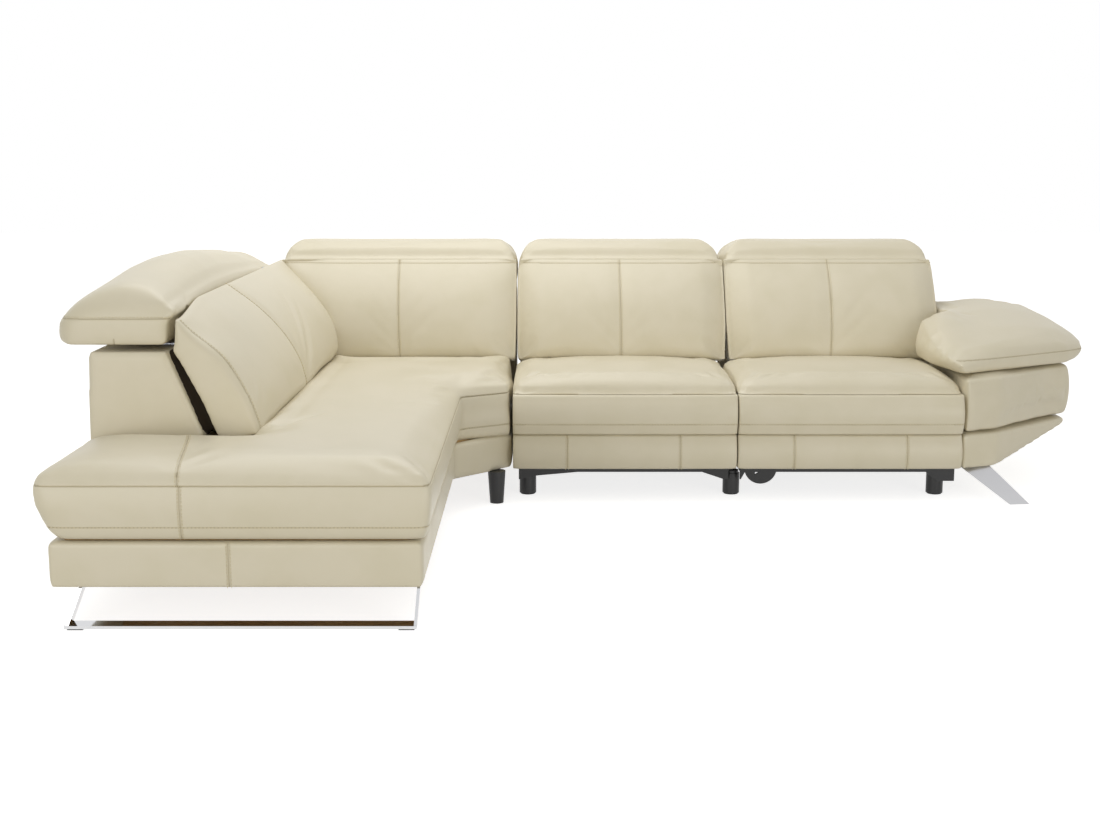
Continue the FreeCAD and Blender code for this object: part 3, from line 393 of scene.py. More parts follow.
@dataclass(frozen=True)
class Webbing:
    """Elastic seat webbing: a plain weave of dark rubber-cored yarn."""

    name: str = "elastic_webbing"
    face: str = "#3B3733"
    deep: str = "#201E1C"
    yarn_mm: float = 3.0

    def build(self) -> bpy.types.Material:
        """Builds the webbing.

        Returns:
            The material.
        """
        material, tree = new_material(self.name)
        yarn = add_node(
            tree, "ShaderNodeTexWave", settings={"bands_direction": "Y"},
            values={"Scale": 1000 / self.yarn_mm / 6.28, "Distortion": 0.4},
            links={"Vector": object_place(tree)},
        ).outputs["Fac"]
        surface(
            tree,
            {"Roughness": 0.8},
            {
                "Base Color": blend(tree, yarn, self.deep, self.face),
                "Normal": relief(tree, yarn, 0.5, 0.0006),
            },
        )
        return material


class Finish(Enum):
    """The finishes of the sofa, each with its recipe."""

    # Semi-aniline cow hide: an even cream with a soft satin glow.
    LEATHER = Leather("cream_cow_hide")
    # Waxed bonded nylon thread, a shade warmer than the hide, slightly shiny.
    THREAD = Coating("nylon_thread", "#E2D8B9", "#C9BB92", 0.5, grit_mm=1.5)
    # Powder coat on mild steel: black with a fine orange peel.
    BLACK_STEEL = Coating("black_powder_coat", "#121213", "#0B0B0C", 0.42, grit_mm=1.6)
    # Injection moulded polypropylene: black, slightly softer shine.
    BLACK_PLASTIC = Coating("moulded_black_plastic", "#131314", "#0C0C0D", 0.40, grit_mm=1.0)
    # Chromium plate over polished steel: mirror bright.
    CHROME = Coating("polished_chrome", "#D9DADC", "#CFD0D3", 0.07, 1.0, 8.0, 0.005)
    # Brushed and lacquered steel: light grey, its brush marks along the blade.
    SATIN_STEEL = Coating(
        "brushed_satin_steel", "#CBCBCD", "#BDBDC0", 0.34, 1.0, 1.0, 0.02, (0.1, 1.0, 1.0),
    )
    # Zinc plate on pressed steel: bluish grey with a dull shine.
    ZINC = Coating("zinc_plated_steel", "#B9BDC2", "#A4A8AE", 0.36, 1.0, 3.0, 0.02)
    # Needled polypropylene felt over the boards: a dull brown that is almost black, painted shade
    # for the gap behind the back cushions.
    SHADE_LINING = Coating(
        "painted_shade_felt", "#2E210C", "#1C1407", 0.92, grit_mm=2.0, grit_depth_mm=0.3,
    )
    # Planed pine battens and birch plywood.
    TIMBER = Timber()
    # Woven elastic webbing.
    WEBBING = Webbing()


class Workshop:
    """Keeps one built material for each finish."""

    made: dict[Finish, bpy.types.Material] = {}

    @classmethod
    def material(cls, finish: Finish) -> bpy.types.Material:
        """The material of a finish, built on first use."""
        if finish not in cls.made:
            cls.made[finish] = finish.value.build()
        return cls.made[finish]


# Leather work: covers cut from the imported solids, plumped, sewn and stitched

class Sewing(Enum):
    """How a seam is sewn: half its width, its depth, and its stitched rows as shares of half."""

    DOUBLE = (0.0050, 0.0018, (-1.0, 1.0))
    SINGLE = (0.0050, 0.0018, (1.0,))
    PLAIN = (0.0040, 0.0018, ())
    TOPSTITCH = (0.0040, 0.0010, (0.0,))


@dataclass(frozen=True)
class Seam:
    """A seam that runs where a plane crosses one side of a piece.

    through and across are a point and the normal of the plane, facing is the side on
    which the seam shows, and low and high limit it to a block of space.
    """

    through: Point
    across: Point
    facing: Point
    sewing: Sewing = Sewing.DOUBLE
    low: Point = (-9.0, -9.0, -9.0)
    high: Point = (9.0, 9.0, 9.0)
    lean: float = 0.2

    def holds(self, places: np.ndarray, normals: np.ndarray, reach: float) -> np.ndarray:
        """Which points of a surface lie near this seam.

        Args:
            places: Points, one per row.
            normals: The surface's normal at each point.
            reach: How far from the plane a point may be.

        Returns:
            A mask over the points.
        """
        normal = np.array(self.across, float) / np.linalg.norm(self.across)
        side = np.array(self.facing, float) / np.linalg.norm(self.facing)
        distance = np.abs((places - np.array(self.through)) @ normal)
        inside = np.all((places >= self.low) & (places <= self.high), axis=1)
        return (distance < reach) & inside & (normals @ side > self.lean)


def seam_chain(
    route: Sequence[tuple[float, float]],
    facing: Point,
    sewing: Sewing,
    levels: tuple[float, float] = (-9.0, 9.0),
) -> list[Seam]:
    """A seam that bends in plan, as one upright plane for each run of its route.

    Args:
        route: Points in plan.
        facing: The side on which the seam shows.
        sewing: How it is sewn.
        levels: Its lowest and highest height.

    Returns:
        One seam for each run.
    """
    runs = []
    for (left, front), (right, rear) in zip(route, route[1:]):
        low = (min(left, right) - 0.003, min(front, rear) - 0.003, levels[0])
        high = (max(left, right) + 0.003, max(front, rear) + 0.003, levels[1])
        across = (rear - front, left - right, 0.0)
        runs.append(Seam((left, front, 0.0), across, facing, sewing, low, high))
    return runs


class StitchLedger:
    """Collects the rows to be stitched, body by body."""

    rows: dict[str, list[tuple[np.ndarray, np.ndarray]]] = {}

    @classmethod
    def add(cls, body: str, points: np.ndarray, edges: np.ndarray) -> None:
        """Notes one row as points and the edges that join them."""
        cls.rows.setdefault(body, []).append((points, edges))


def coordinates(mesh: bpy.types.Mesh) -> np.ndarray:
    """The points of a mesh, one per row."""
    flat = np.zeros(len(mesh.vertices) * 3)
    mesh.vertices.foreach_get("co", flat)
    return flat.reshape(-1, 3)


def point_normals(mesh: bpy.types.Mesh) -> np.ndarray:
    """The normals at the points of a mesh, one per row."""
    flat = np.zeros(len(mesh.vertices) * 3)
    mesh.vertices.foreach_get("normal", flat)
    return flat.reshape(-1, 3)


def set_coordinates(mesh: bpy.types.Mesh, places: np.ndarray) -> None:
    """Moves the points of a mesh."""
    mesh.vertices.foreach_set("co", places.reshape(-1))
    mesh.update()


def bake(piece: bpy.types.Object) -> None:
    """Turns a piece and its modifiers into a plain mesh.

    Args:
        piece: The piece, which keeps its name and place.
    """
    graph = bpy.context.evaluated_depsgraph_get()
    mesh = bpy.data.meshes.new_from_object(piece.evaluated_get(graph))
    piece.modifiers.clear()
    old = piece.data
    piece.data = mesh
    mesh.name = piece.name
    bpy.data.meshes.remove(old)


def piece_from(name: str, mesh: bpy.types.Mesh) -> bpy.types.Object:
    """Puts a mesh in the scene as a new piece."""
    piece = bpy.data.objects.new(name, mesh)
    bpy.context.scene.collection.objects.link(piece)
    return piece


def merged_copy(node: str, name: str) -> bpy.types.Object:
    """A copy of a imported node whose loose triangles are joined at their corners.

    Args:
        node: The node's name.
        name: The name of the new piece.

    Returns:
        The copy, without materials.
    """
    mesh = frame["nodes"][node].data.copy()
    mesh.name = name
    work = bmesh.new()
    work.from_mesh(mesh)
    bmesh.ops.remove_doubles(work, verts=work.verts, dist=0.00005)
    work.to_mesh(mesh)
    work.free()
    mesh.materials.clear()
    return piece_from(name, mesh)


def even_skin(piece: bpy.types.Object, voxel: float, rounds: int) -> None:
    """Gives a piece an even mesh with soft edges.

    Args:
        piece: The piece.
        voxel: The width of the new mesh's cells.
        rounds: How often the mesh is smoothed.
    """
    skin = piece.modifiers.new("skin", "REMESH")
    skin.mode = "VOXEL"
    skin.voxel_size = voxel
    smooth = piece.modifiers.new("smooth", "SMOOTH")
    smooth.factor = 0.5
    smooth.iterations = rounds
    bake(piece)


def draw_in(piece: bpy.types.Object, amount: float) -> None:
    """Moves a piece's whole surface inwards by an amount in metres."""
    set_coordinates(piece.data, coordinates(piece.data) + point_normals(piece.data) * -amount)


def plump(
    piece: bpy.types.Object,
    held: np.ndarray,
    cap: float,
    pressure: float = 4.0,
    steps: int = 16,
) -> float:
    """Blows a piece up as sewn leather over foam, with its seams held.

    Args:
        piece: The piece, with an even mesh.
        held: How firmly each point is held, from 0 to 1.
        cap: The furthest that a point may move.
        pressure: The pressure inside.
        steps: The number of steps of the simulation.

    Returns:
        The mean movement in metres.
    """
    scene = bpy.context.scene
    start = coordinates(piece.data)
    group = piece.vertex_groups.new(name="held")
    for share in (1.0, 0.6, 0.3):
        chosen = np.nonzero(np.isclose(held, share))[0].tolist()
        if chosen:
            group.add(chosen, share, "REPLACE")
    cloth = piece.modifiers.new("cloth", "CLOTH")
    rules = cloth.settings
    rules.quality = 5
    rules.mass = 0.4
    rules.tension_stiffness = 30
    rules.compression_stiffness = 30
    rules.shear_stiffness = 12
    rules.bending_stiffness = 2.0
    rules.use_pressure = True
    rules.uniform_pressure_force = pressure
    rules.effector_weights.gravity = 0
    rules.vertex_group_mass = "held"
    cloth.collision_settings.use_collision = False
    cloth.point_cache.frame_start = 1
    cloth.point_cache.frame_end = steps
    for step in range(1, steps + 1):
        scene.frame_set(step)
    graph = bpy.context.evaluated_depsgraph_get()
    blown = coordinates(piece.evaluated_get(graph).data)
    piece.modifiers.clear()
    piece.vertex_groups.clear()
    scene.frame_set(1)
    shift = blown - start
    length = np.linalg.norm(shift, axis=1)
    shift *= np.minimum(1.0, cap / np.maximum(length, 1e-9))[:, None]
    set_coordinates(piece.data, start + shift)
    return float(np.minimum(length, cap).mean())


def fit(piece: bpy.types.Object, node: str, growth: Sequence[float]) -> None:
    """Stretches a piece to its node's box, so that soft edges take nothing off its size.

    Args:
        piece: The piece.
        node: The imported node.
        growth: How far it may stand proud of the box: low x, y, z, then high x, y, z.
    """
    low, high = (np.array(corner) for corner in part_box(node))
    low = low - np.array(growth[:3])
    high = high + np.array(growth[3:])
    places = coordinates(piece.data)
    now_low, now_high = places.min(axis=0), places.max(axis=0)
    set_coordinates(piece.data, low + (places - now_low) / (now_high - now_low) * (high - low))


def soften(piece: bpy.types.Object, shares: np.ndarray, rounds: int) -> None:
    """Smooths a part of a piece.

    Args:
        piece: The piece.
        shares: How far each point takes part, from 0 to 1.
        rounds: How often each point moves to the middle of its neighbours.
    """
    mesh = piece.data
    pairs = np.empty(len(mesh.edges) * 2, dtype=np.int32)
    mesh.edges.foreach_get("vertices", pairs)
    pairs = pairs.reshape(-1, 2)
    count = np.bincount(pairs.ravel(), minlength=len(shares)).astype(float)[:, None]
    places = coordinates(mesh)
    for _ in range(rounds):
        total = np.zeros_like(places)
        np.add.at(total, pairs[:, 0], places[pairs[:, 1]])
        np.add.at(total, pairs[:, 1], places[pairs[:, 0]])
        places += (total / np.maximum(count, 1.0) - places) * (0.6 * shares)[:, None]
    set_coordinates(mesh, places)


def ease(values: np.ndarray) -> np.ndarray:
    """A smooth step from 0 to 1."""
    share = np.clip(values, 0.0, 1.0)
    return share * share * (3.0 - 2.0 * share)


def squared(values: np.ndarray, edge: float, reach: float, power: float = 1.7) -> np.ndarray:
    """Tightens the rounding beside one face of a piece, whose face itself stays put.

    Args:
        values: One coordinate of the points.
        edge: Where the face is.
        reach: How far from the face the rounding begins, negative where the piece lies below.
        power: How much tighter it becomes.

    Returns:
        The moved coordinate.
    """
    share = (values - edge) / reach
    near = (share >= 0.0) & (share <= 1.0)
    return np.where(near, edge + reach * np.clip(share, 0.0, 1.0) ** power, values)


def refine(piece: bpy.types.Object, levels: int = 1) -> None:
    """Subdivides a piece.

    Args:
        piece: The piece.
        levels: How often.
    """
    finer = piece.modifiers.new("finer", "SUBSURF")
    finer.levels = levels
    finer.render_levels = levels
    bake(piece)


def sew(piece: bpy.types.Object, body: str, seams: Iterable[Seam]) -> None:
    """Cuts seams into a piece and notes the rows of stitches beside them.

    Args:
        piece: The piece, with its final form.
        body: The body whose stitches these are.
        seams: The seams.
    """
    work = bmesh.new()
    work.from_mesh(piece.data)
    groove_shade = work.verts.layers.float.new("seam")
    for seam in seams:
        half, depth, rows = seam.sewing.value
        normal = Vector(seam.across).normalized()
        work.normal_update()
        centres = np.array([face.calc_center_median() for face in work.faces])
        normals = np.array([face.normal for face in work.faces])
        chosen = seam.holds(centres, normals, half + 0.012)
        work.faces.ensure_lookup_table()
        faces = [work.faces[int(index)] for index in np.nonzero(chosen)[0]]
        if not faces:
            LOG.warning("%s: a seam found no surface at %s", piece.name, seam.through)
            continue
        geometry = list({
            *faces,
            *(edge for face in faces for edge in face.edges),
            *(corner for face in faces for corner in face.verts),
        })
        lines = {}
        for share in (-1.0, -0.35, 0.0, 0.35, 1.0):
            cut = bmesh.ops.bisect_plane(
                work, geom=geometry, dist=1e-6,
                plane_co=Vector(seam.through) + normal * (half * share), plane_no=normal,
            )
            geometry = cut["geom"]
            lines[share] = cut["geom_cut"]
        work.normal_update()
        moves = {}
        for share, fall in ((-0.35, 0.4), (0.0, 1.0), (0.35, 0.4)):
            for item in lines[share]:
                if isinstance(item, bmesh.types.BMVert) and item.is_valid:
                    moves[item] = (item.normal * (-depth * fall), fall)
        # The sunk points are also marked, by how deep they sink, for the painted shade that darkens
        # each seam's groove.
        for corner, (shift, fall) in moves.items():
            corner.co += shift
            corner[groove_shade] = max(corner[groove_shade], fall)
        for share in rows:
            corners: dict[bmesh.types.BMVert, int] = {}
            points, edges = [], []
            for item in lines[share]:
                if not isinstance(item, bmesh.types.BMEdge) or not item.is_valid:
                    continue
                pair = []
                for corner in item.verts:
                    if corner not in corners:
                        corners[corner] = len(points)
                        points.append(corner.co + corner.normal * 0.0005)
                    pair.append(corners[corner])
                edges.append(pair)
            if edges:
                StitchLedger.add(body, np.array(points), np.array(edges))
    work.to_mesh(piece.data)
    work.free()


def held_by(piece: bpy.types.Object, seams: Iterable[Seam], reach: float) -> np.ndarray:
    """How firmly seams hold the points of a piece while it is blown up.

    Args:
        piece: The piece.
        seams: The seams.
        reach: How far a seam holds the surface beside it.

    Returns:
        A share for each point.
    """
    places, normals = coordinates(piece.data), point_normals(piece.data)
    held = np.zeros(len(places))
    for seam in seams:
        held[seam.holds(places, normals, reach)] = 1.0
    return held


def dress(
    piece: bpy.types.Object,
    finish: Finish,
    body: str,
    nodes: Sequence[str] = (),
) -> bpy.types.Object:
    """Gives a finished piece its material and its place in the frame.

    Args:
        piece: The piece, at the origin with its place in its mesh.
        finish: Its finish.
        body: The body it rides on.
        nodes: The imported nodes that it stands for.

    Returns:
        The piece.
    """
    piece.data.materials.clear()
    piece.data.materials.append(Workshop.material(finish))
    piece.data.polygons.foreach_set("use_smooth", [True] * len(piece.data.polygons))
    piece.data.update()
    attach(piece, body)
    if nodes:
        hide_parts(*nodes)
    LOG.info("%s: %d faces on %s", piece.name, len(piece.data.polygons), body)
    return piece


@dataclass
class Cover:
    """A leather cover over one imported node.

    Sizes are in metres: voxel is the mesh's cell before it is refined, draw_in how much
    smaller the piece starts before it is blown up, and cap how far it may then swell.
    """

    node: str
    name: str
    body: str
    voxel: float = 0.012
    rounds: int = 4
    draw_in: float = 0.0
    cap: float = 0.0
    pressure: float = 4.0
    fill: float | None = None
    levels: int = 1
    growth: tuple[float, ...] = (0.0, 0.0, 0.0, 0.0, 0.0, 0.0)
    seams: list[Seam] = field(default_factory=list)
    shape: Callable[[np.ndarray, np.ndarray], np.ndarray] | None = None
    holds: Callable[[np.ndarray, np.ndarray], np.ndarray] | None = None
    melt: Callable[[np.ndarray], np.ndarray] | None = None

    def build(self) -> bpy.types.Object:
        """Builds the cover.

        Returns:
            The finished piece.
        """
        piece = merged_copy(self.node, self.name)
        even_skin(piece, self.voxel, self.rounds)
        if self.draw_in:
            draw_in(piece, self.draw_in)
        if self.cap:
            held = held_by(piece, self.seams, self.voxel * 0.75)
            if self.holds is not None:
                places, normals = coordinates(piece.data), point_normals(piece.data)
                held[self.holds(places, normals)] = 1.0
            moved = plump(piece, held, self.cap, self.pressure)
            LOG.info("%s swelled by %.1f mm on average", self.name, moved * 1000)
        if self.melt is not None:
            soften(piece, self.melt(coordinates(piece.data)), 60)
        fit(piece, self.node, self.growth)
        if self.shape is not None:
            places, normals = coordinates(piece.data), point_normals(piece.data)
            set_coordinates(piece.data, self.shape(places, normals))
        if self.levels:
            refine(piece, self.levels)
        sew(piece, self.body, self.seams)
        return dress(piece, Finish.LEATHER, self.body, [self.node])


# Stitches along the noted rows

@dataclass
class Stitching:
    """Thread along the seams. Sizes are in metres.

    A real stitch is about 4 mm long in 0.8 mm thread; pitch and thread are drawn coarser
    so that the rows can be seen from across a room.
    """

    pitch: float = 0.0095
    length: float = 0.0072
    thread: float = 0.0019

    def tree(self) -> bpy.types.GeometryNodeTree:
        """Builds the tree that turns rows of edges into rows of stitches.

        Returns:
            The node tree, with its sizes and material as named inputs.
        """
        tree = bpy.data.node_groups.new("stitch_rows", "GeometryNodeTree")
        for name, kind in (
            ("Rows", "NodeSocketGeometry"), ("Pitch", "NodeSocketFloat"),
            ("Length", "NodeSocketFloat"), ("Thread", "NodeSocketFloat"),
            ("Material", "NodeSocketMaterial"),
        ):
            tree.interface.new_socket(name, in_out="INPUT", socket_type=kind)
        tree.interface.new_socket("Stitches", in_out="OUTPUT", socket_type="NodeSocketGeometry")
        given = add_node(tree, "NodeGroupInput").outputs
        line = add_node(tree, "GeometryNodeMeshToCurve", links={"Mesh": given["Rows"]})
        even = add_node(
            tree, "GeometryNodeResampleCurve", settings={"mode": "LENGTH"},
            links={"Curve": line.outputs[0], "Length": given["Pitch"]},
        )
        bead = add_node(
            tree, "GeometryNodeMeshUVSphere", values={"Segments": 6, "Rings": 4, "Radius": 0.5},
        )
        size = add_node(
            tree, "ShaderNodeCombineXYZ",
            links={"X": given["Length"], "Y": given["Thread"], "Z": given["Thread"]},
        )
        stitch = add_node(
            tree, "GeometryNodeTransform",
            links={"Geometry": bead.outputs[0], "Scale": size.outputs[0]},
        )
        tangent = add_node(tree, "GeometryNodeInputTangent")
        turn = add_node(
            tree, "FunctionNodeAlignRotationToVector", settings={"axis": "X"},
            links={"Vector": tangent.outputs[0]},
        )
        rows = add_node(
            tree, "GeometryNodeInstanceOnPoints",
            links={
                "Points": even.outputs[0], "Instance": stitch.outputs[0],
                "Rotation": turn.outputs[0],
            },
        )
        real = add_node(tree, "GeometryNodeRealizeInstances", links={"Geometry": rows.outputs[0]})
        dyed = add_node(
            tree, "GeometryNodeSetMaterial",
            links={"Geometry": real.outputs[0], "Material": given["Material"]},
        )
        add_node(tree, "NodeGroupOutput", links={"Stitches": dyed.outputs[0]})
        return tree

    def build(self) -> None:
        """Makes one mesh of stitches for each body that has noted rows."""
        tree = self.tree()
        sockets = {
            item.name: item.identifier
            for item in tree.interface.items_tree if item.in_out == "INPUT"
        }
        for body, rows in StitchLedger.rows.items():
            points, edges, count = [], [], 0
            for row_points, row_edges in rows:
                points.append(row_points)
                edges.append(row_edges + count)
                count += len(row_points)
            mesh = bpy.data.meshes.new(f"{body}_stitches")
            mesh.from_pydata(
                np.concatenate(points).tolist(), np.concatenate(edges).tolist(), [],
            )
            piece = piece_from(f"{body}_stitches", mesh)
            maker = piece.modifiers.new("stitches", "NODES")
            maker.node_group = tree
            maker[sockets["Pitch"]] = self.pitch
            maker[sockets["Length"]] = self.length
            maker[sockets["Thread"]] = self.thread
            maker[sockets["Material"]] = Workshop.material(Finish.THREAD)
            bake(piece)
            dress(piece, Finish.THREAD, body)


# Sub-assemblies

@dataclass
class Back:
    """One back: its cushion, its shell and its folded headrest pad.

    The sizes are where its seams stand along its length, in metres.
    """

    prefix: str
    body: str
    headrest_body: str
    seam_foot: Point
    seam_head: Point
    ends: tuple[float, ...]
    puffs: tuple[float, float] = (0.0, 0.0)
    crown: tuple[tuple[float, float], ...] = ()
    rounds: int = 3

    CUSHION_FOOT = 0.415
    CUSHION_RISE = 0.351
    SAG = 0.018
    SWELL = 0.022
    SIDE_ROLL = 0.022
    SEAM_VALLEY = 0.006
    BOARD_SETBACK = 0.165
    BOARD_SLOPE = (0.092, 0.225)

    def along(self) -> np.ndarray:
        """The direction of the back's length."""
        return np.array((0.0, 1.0, 0.0)) if self.prefix == "left" else np.array((1.0, 0.0, 0.0))

    def outward(self) -> np.ndarray:
        """The level direction in which the back faces."""
        return np.array((1.0, 0.0, 0.0)) if self.prefix == "left" else np.array((0.0, -1.0, 0.0))

    def centre_seam(self) -> Seam:
        """The sewn line down the middle of the cushion."""
        foot, head = np.array(self.seam_foot), np.array(self.seam_head)
        across = np.cross(head - foot, self.outward())
        return Seam(
            tuple(foot), tuple(across), tuple(self.outward() + (0.0, 0.0, 0.45)),
            Sewing.DOUBLE, lean=0.35,
        )

    def fold_seam(self) -> Seam:
        """The row of stitches just under the fold of the headrest."""
        return Seam(
            (0.0, 0.0, 0.754), (0.0, 0.0, 1.0), tuple(self.outward()), Sewing.TOPSTITCH, lean=0.3,
        )

    def end_seams(self) -> list[Seam]:
        """The sewn edges between the front of the cushion and its two ends."""
        along = self.along()
        seams = []
        for end in self.ends:
            point = along * end
            seams.append(Seam(
                tuple(point), tuple(along), tuple(self.outward() + (0.0, 0.0, 0.3)),
                Sewing.SINGLE, lean=0.25,
            ))
        return seams

    def pillow(self, places: np.ndarray, normals: np.ndarray) -> np.ndarray:
        """Fills the cushion out at its sides and lets its lower edge sag onto the seat.

        Args:
            places: The points of the cushion.
            normals: Its normals.

        Returns:
            The moved points.
        """
        along, outward = self.along(), self.outward()
        station = places @ along
        low, high = station.min(), station.max()
        side = (station - low) / (high - low) * 2.0 - 1.0
        level = (places[:, 2] - self.CUSHION_FOOT) / self.CUSHION_RISE
        belly = np.clip(4.0 * level * (1.0 - level), 0.0, 1.0)
        wide = ease((np.abs(side) - 0.85) / 0.15) * (0.35 + 0.65 * ease(level * 2.5))
        puff = np.where(side < 0, -self.puffs[0], self.puffs[1]) * wide
        sag = -self.SAG * ease((0.51 - places[:, 2]) / 0.08) * (0.6 + 0.4 * side ** 4)
        foot, head = np.array(self.seam_foot), np.array(self.seam_head)
        share = np.clip((places[:, 2] - foot[2]) / (head[2] - foot[2]), 0.0, 1.0)
        seam_station = (foot @ along) + share * ((head - foot) @ along)
        front = ease((normals @ outward - 0.1) / 0.5)
        forward = self.SWELL * (1.0 - np.abs(side) ** 3.0) * belly
        forward -= self.SEAM_VALLEY * np.exp(-((station - seam_station) / 0.030) ** 2)
        forward += self.roll(station, side, places[:, 2], belly)
        moved = places + along * puff[:, None] + outward * (forward * front)[:, None]
        moved[:, 2] += sag
        moved[:, 2] = squared(moved[:, 2], moved[:, 2].max(), -0.016, 1.3)
        if self.prefix == "left":
            # The near end of the long cushion droops under its headrest.
            droop = ease((-0.60 - station) / 0.28) * ease((places[:, 2] - 0.60) / 0.15)
            moved[:, 2] -= 0.036 * droop
        return moved

    def roll(
        self, station: np.ndarray, side: np.ndarray, height: np.ndarray, belly: np.ndarray,
    ) -> np.ndarray:
        """How far the front of the cushion stands forward at its ends.

        Args:
            station: Where each point lies along the back, in metres.
            side: The same from -1 at one end to 1 at the other.
            height: The height of each point.
            belly: How far each point is from the upper and the lower edge, from 0 to 1.

        Returns:
            The shift in metres, negative where the cushion rolls back.
        """
        if self.prefix == "left":
            # It bulges beside the corner and gives way at the foot of the corner.
            bulge = 0.030 * np.exp(-((station - 0.42) / 0.16) ** 2) * belly
            return bulge - 0.026 * ease((station - 0.44) / 0.12) * ease((0.56 - height) / 0.12)
        if self.prefix == "corner":
            return -0.016 * ease((-0.62 - station) / 0.14) - 0.014 * ease((station + 0.05) / 0.10)
        return -self.SIDE_ROLL * ease((np.abs(side) - 0.78) / 0.22)

    def cushion(self) -> bpy.types.Object:
        """The cushion that the sitter leans on."""
        seams = [self.centre_seam(), *self.end_seams()]
        if self.prefix != "left":
            seams.append(self.fold_seam())
        return Cover(
            f"{self.prefix}_back_cushion", f"{self.prefix}_back_cushion_leather", self.body,
            rounds=3, draw_in=0.003, cap=0.010, fill=0.7,
            seams=seams, shape=self.pillow,
            holds=lambda places, normals: (normals @ self.outward()) < 0.15,
        ).build()

    def hump(self, places: np.ndarray, normals: np.ndarray) -> np.ndarray:
        """Fills the top of a long headrest out towards the middle of its length.

        Args:
            places: The points of the pad.
            normals: Its normals; not used.

        Returns:
            The moved points.
        """
        along = self.along()
        station = places @ along
        low, high = station.min(), station.max()
        side = (station - low) / (high - low) * 2.0 - 1.0
        puff = np.where(side < 0, -self.puffs[0], self.puffs[1])
        moved = places + along * (puff * ease((np.abs(side) - 0.80) / 0.20))[:, None]
        if self.crown:
            stations, rises = zip(*self.crown)
            lift = np.interp(station, stations, rises)
            moved[:, 2] += lift * ease((places[:, 2] - 0.72) / 0.10)
        return moved

    @staticmethod
    def near_top(places: np.ndarray) -> np.ndarray:
        """The part of the long headrest whose top slopes softly down to its near end."""
        rear = ease((-0.885 - places[:, 0]) / 0.06)
        return rear * ease((places[:, 2] - 0.715) / 0.04) * ease((-0.40 - places[:, 1]) / 0.25)

    def headrest(self) -> bpy.types.Object:
        """The headrest pad, folded back over the shell."""
        seams = []
        if self.prefix == "left":
            # The near end shows a level seam and a short tick below it.
            near = (0.0, -1.0, 0.0)
            seams.append(Seam((0.0, 0.0, 0.730), (0.0, 0.0, 1.0), near, Sewing.SINGLE,
                              high=(9.0, -0.85, 9.0), lean=0.3))
            seams.append(Seam((-1.020, 0.0, 0.0), (1.0, 0.0, 0.0), near, Sewing.PLAIN,
                              high=(9.0, -0.85, 0.675), lean=-0.2))
        return Cover(
            f"{self.prefix}_headrest_pad", f"{self.prefix}_headrest_leather", self.headrest_body,
            voxel=0.009, rounds=self.rounds, draw_in=0.002, cap=0.006, fill=0.7, seams=seams,
            shape=self.hump, melt=self.near_top if self.prefix == "left" else None,
            holds=lambda places, normals: normals[:, 2] < -0.5,
        ).build()

    def shell(self) -> bpy.types.Object:
        """The upholstered shell behind the cushion, its board lined in dark brown felt as painted
        shade for the gap behind the cushion.

        Returns:
            The shell, cut along the front plane of its board.
        """
        piece = Cover(
            f"{self.prefix}_back_shell", f"{self.prefix}_back_shell_leather", self.body,
            voxel=0.010, rounds=2, levels=0, fill=0.95,
        ).build()
        piece.data.materials.append(Workshop.material(Finish.SHADE_LINING))
        behind = self.outward() * -1.0
        origin = behind * (0.615 if self.prefix == "left" else 0.530)
        foot = Vector(origin + behind * self.BOARD_SETBACK + (0.0, 0.0, self.CUSHION_FOOT))
        run, rise = self.BOARD_SLOPE
        slope = Vector(behind * run + (0.0, 0.0, rise))
        level = Vector(self.along())
        across = slope.cross(level).normalized()
        if across.dot(Vector(behind)) > 0:
            across.negate()
        work = bmesh.new()
        work.from_mesh(piece.data)
        bmesh.ops.bisect_plane(
            work, geom=[*work.verts, *work.edges, *work.faces], dist=1e-6,
            plane_co=foot, plane_no=across,
        )
        # Painted shade: faces in front of the board's front plane and above the seat take the dark
        # felt.
        for face in work.faces:
            centre = face.calc_center_median()
            if (centre - foot).dot(across) > 0.0 and centre.z > 0.40:
                face.material_index = 1
        work.to_mesh(piece.data)
        work.free()
        return piece

    def build(self) -> None:
        """Builds the back's covers."""
        self.cushion()
        self.headrest()
        self.shell()


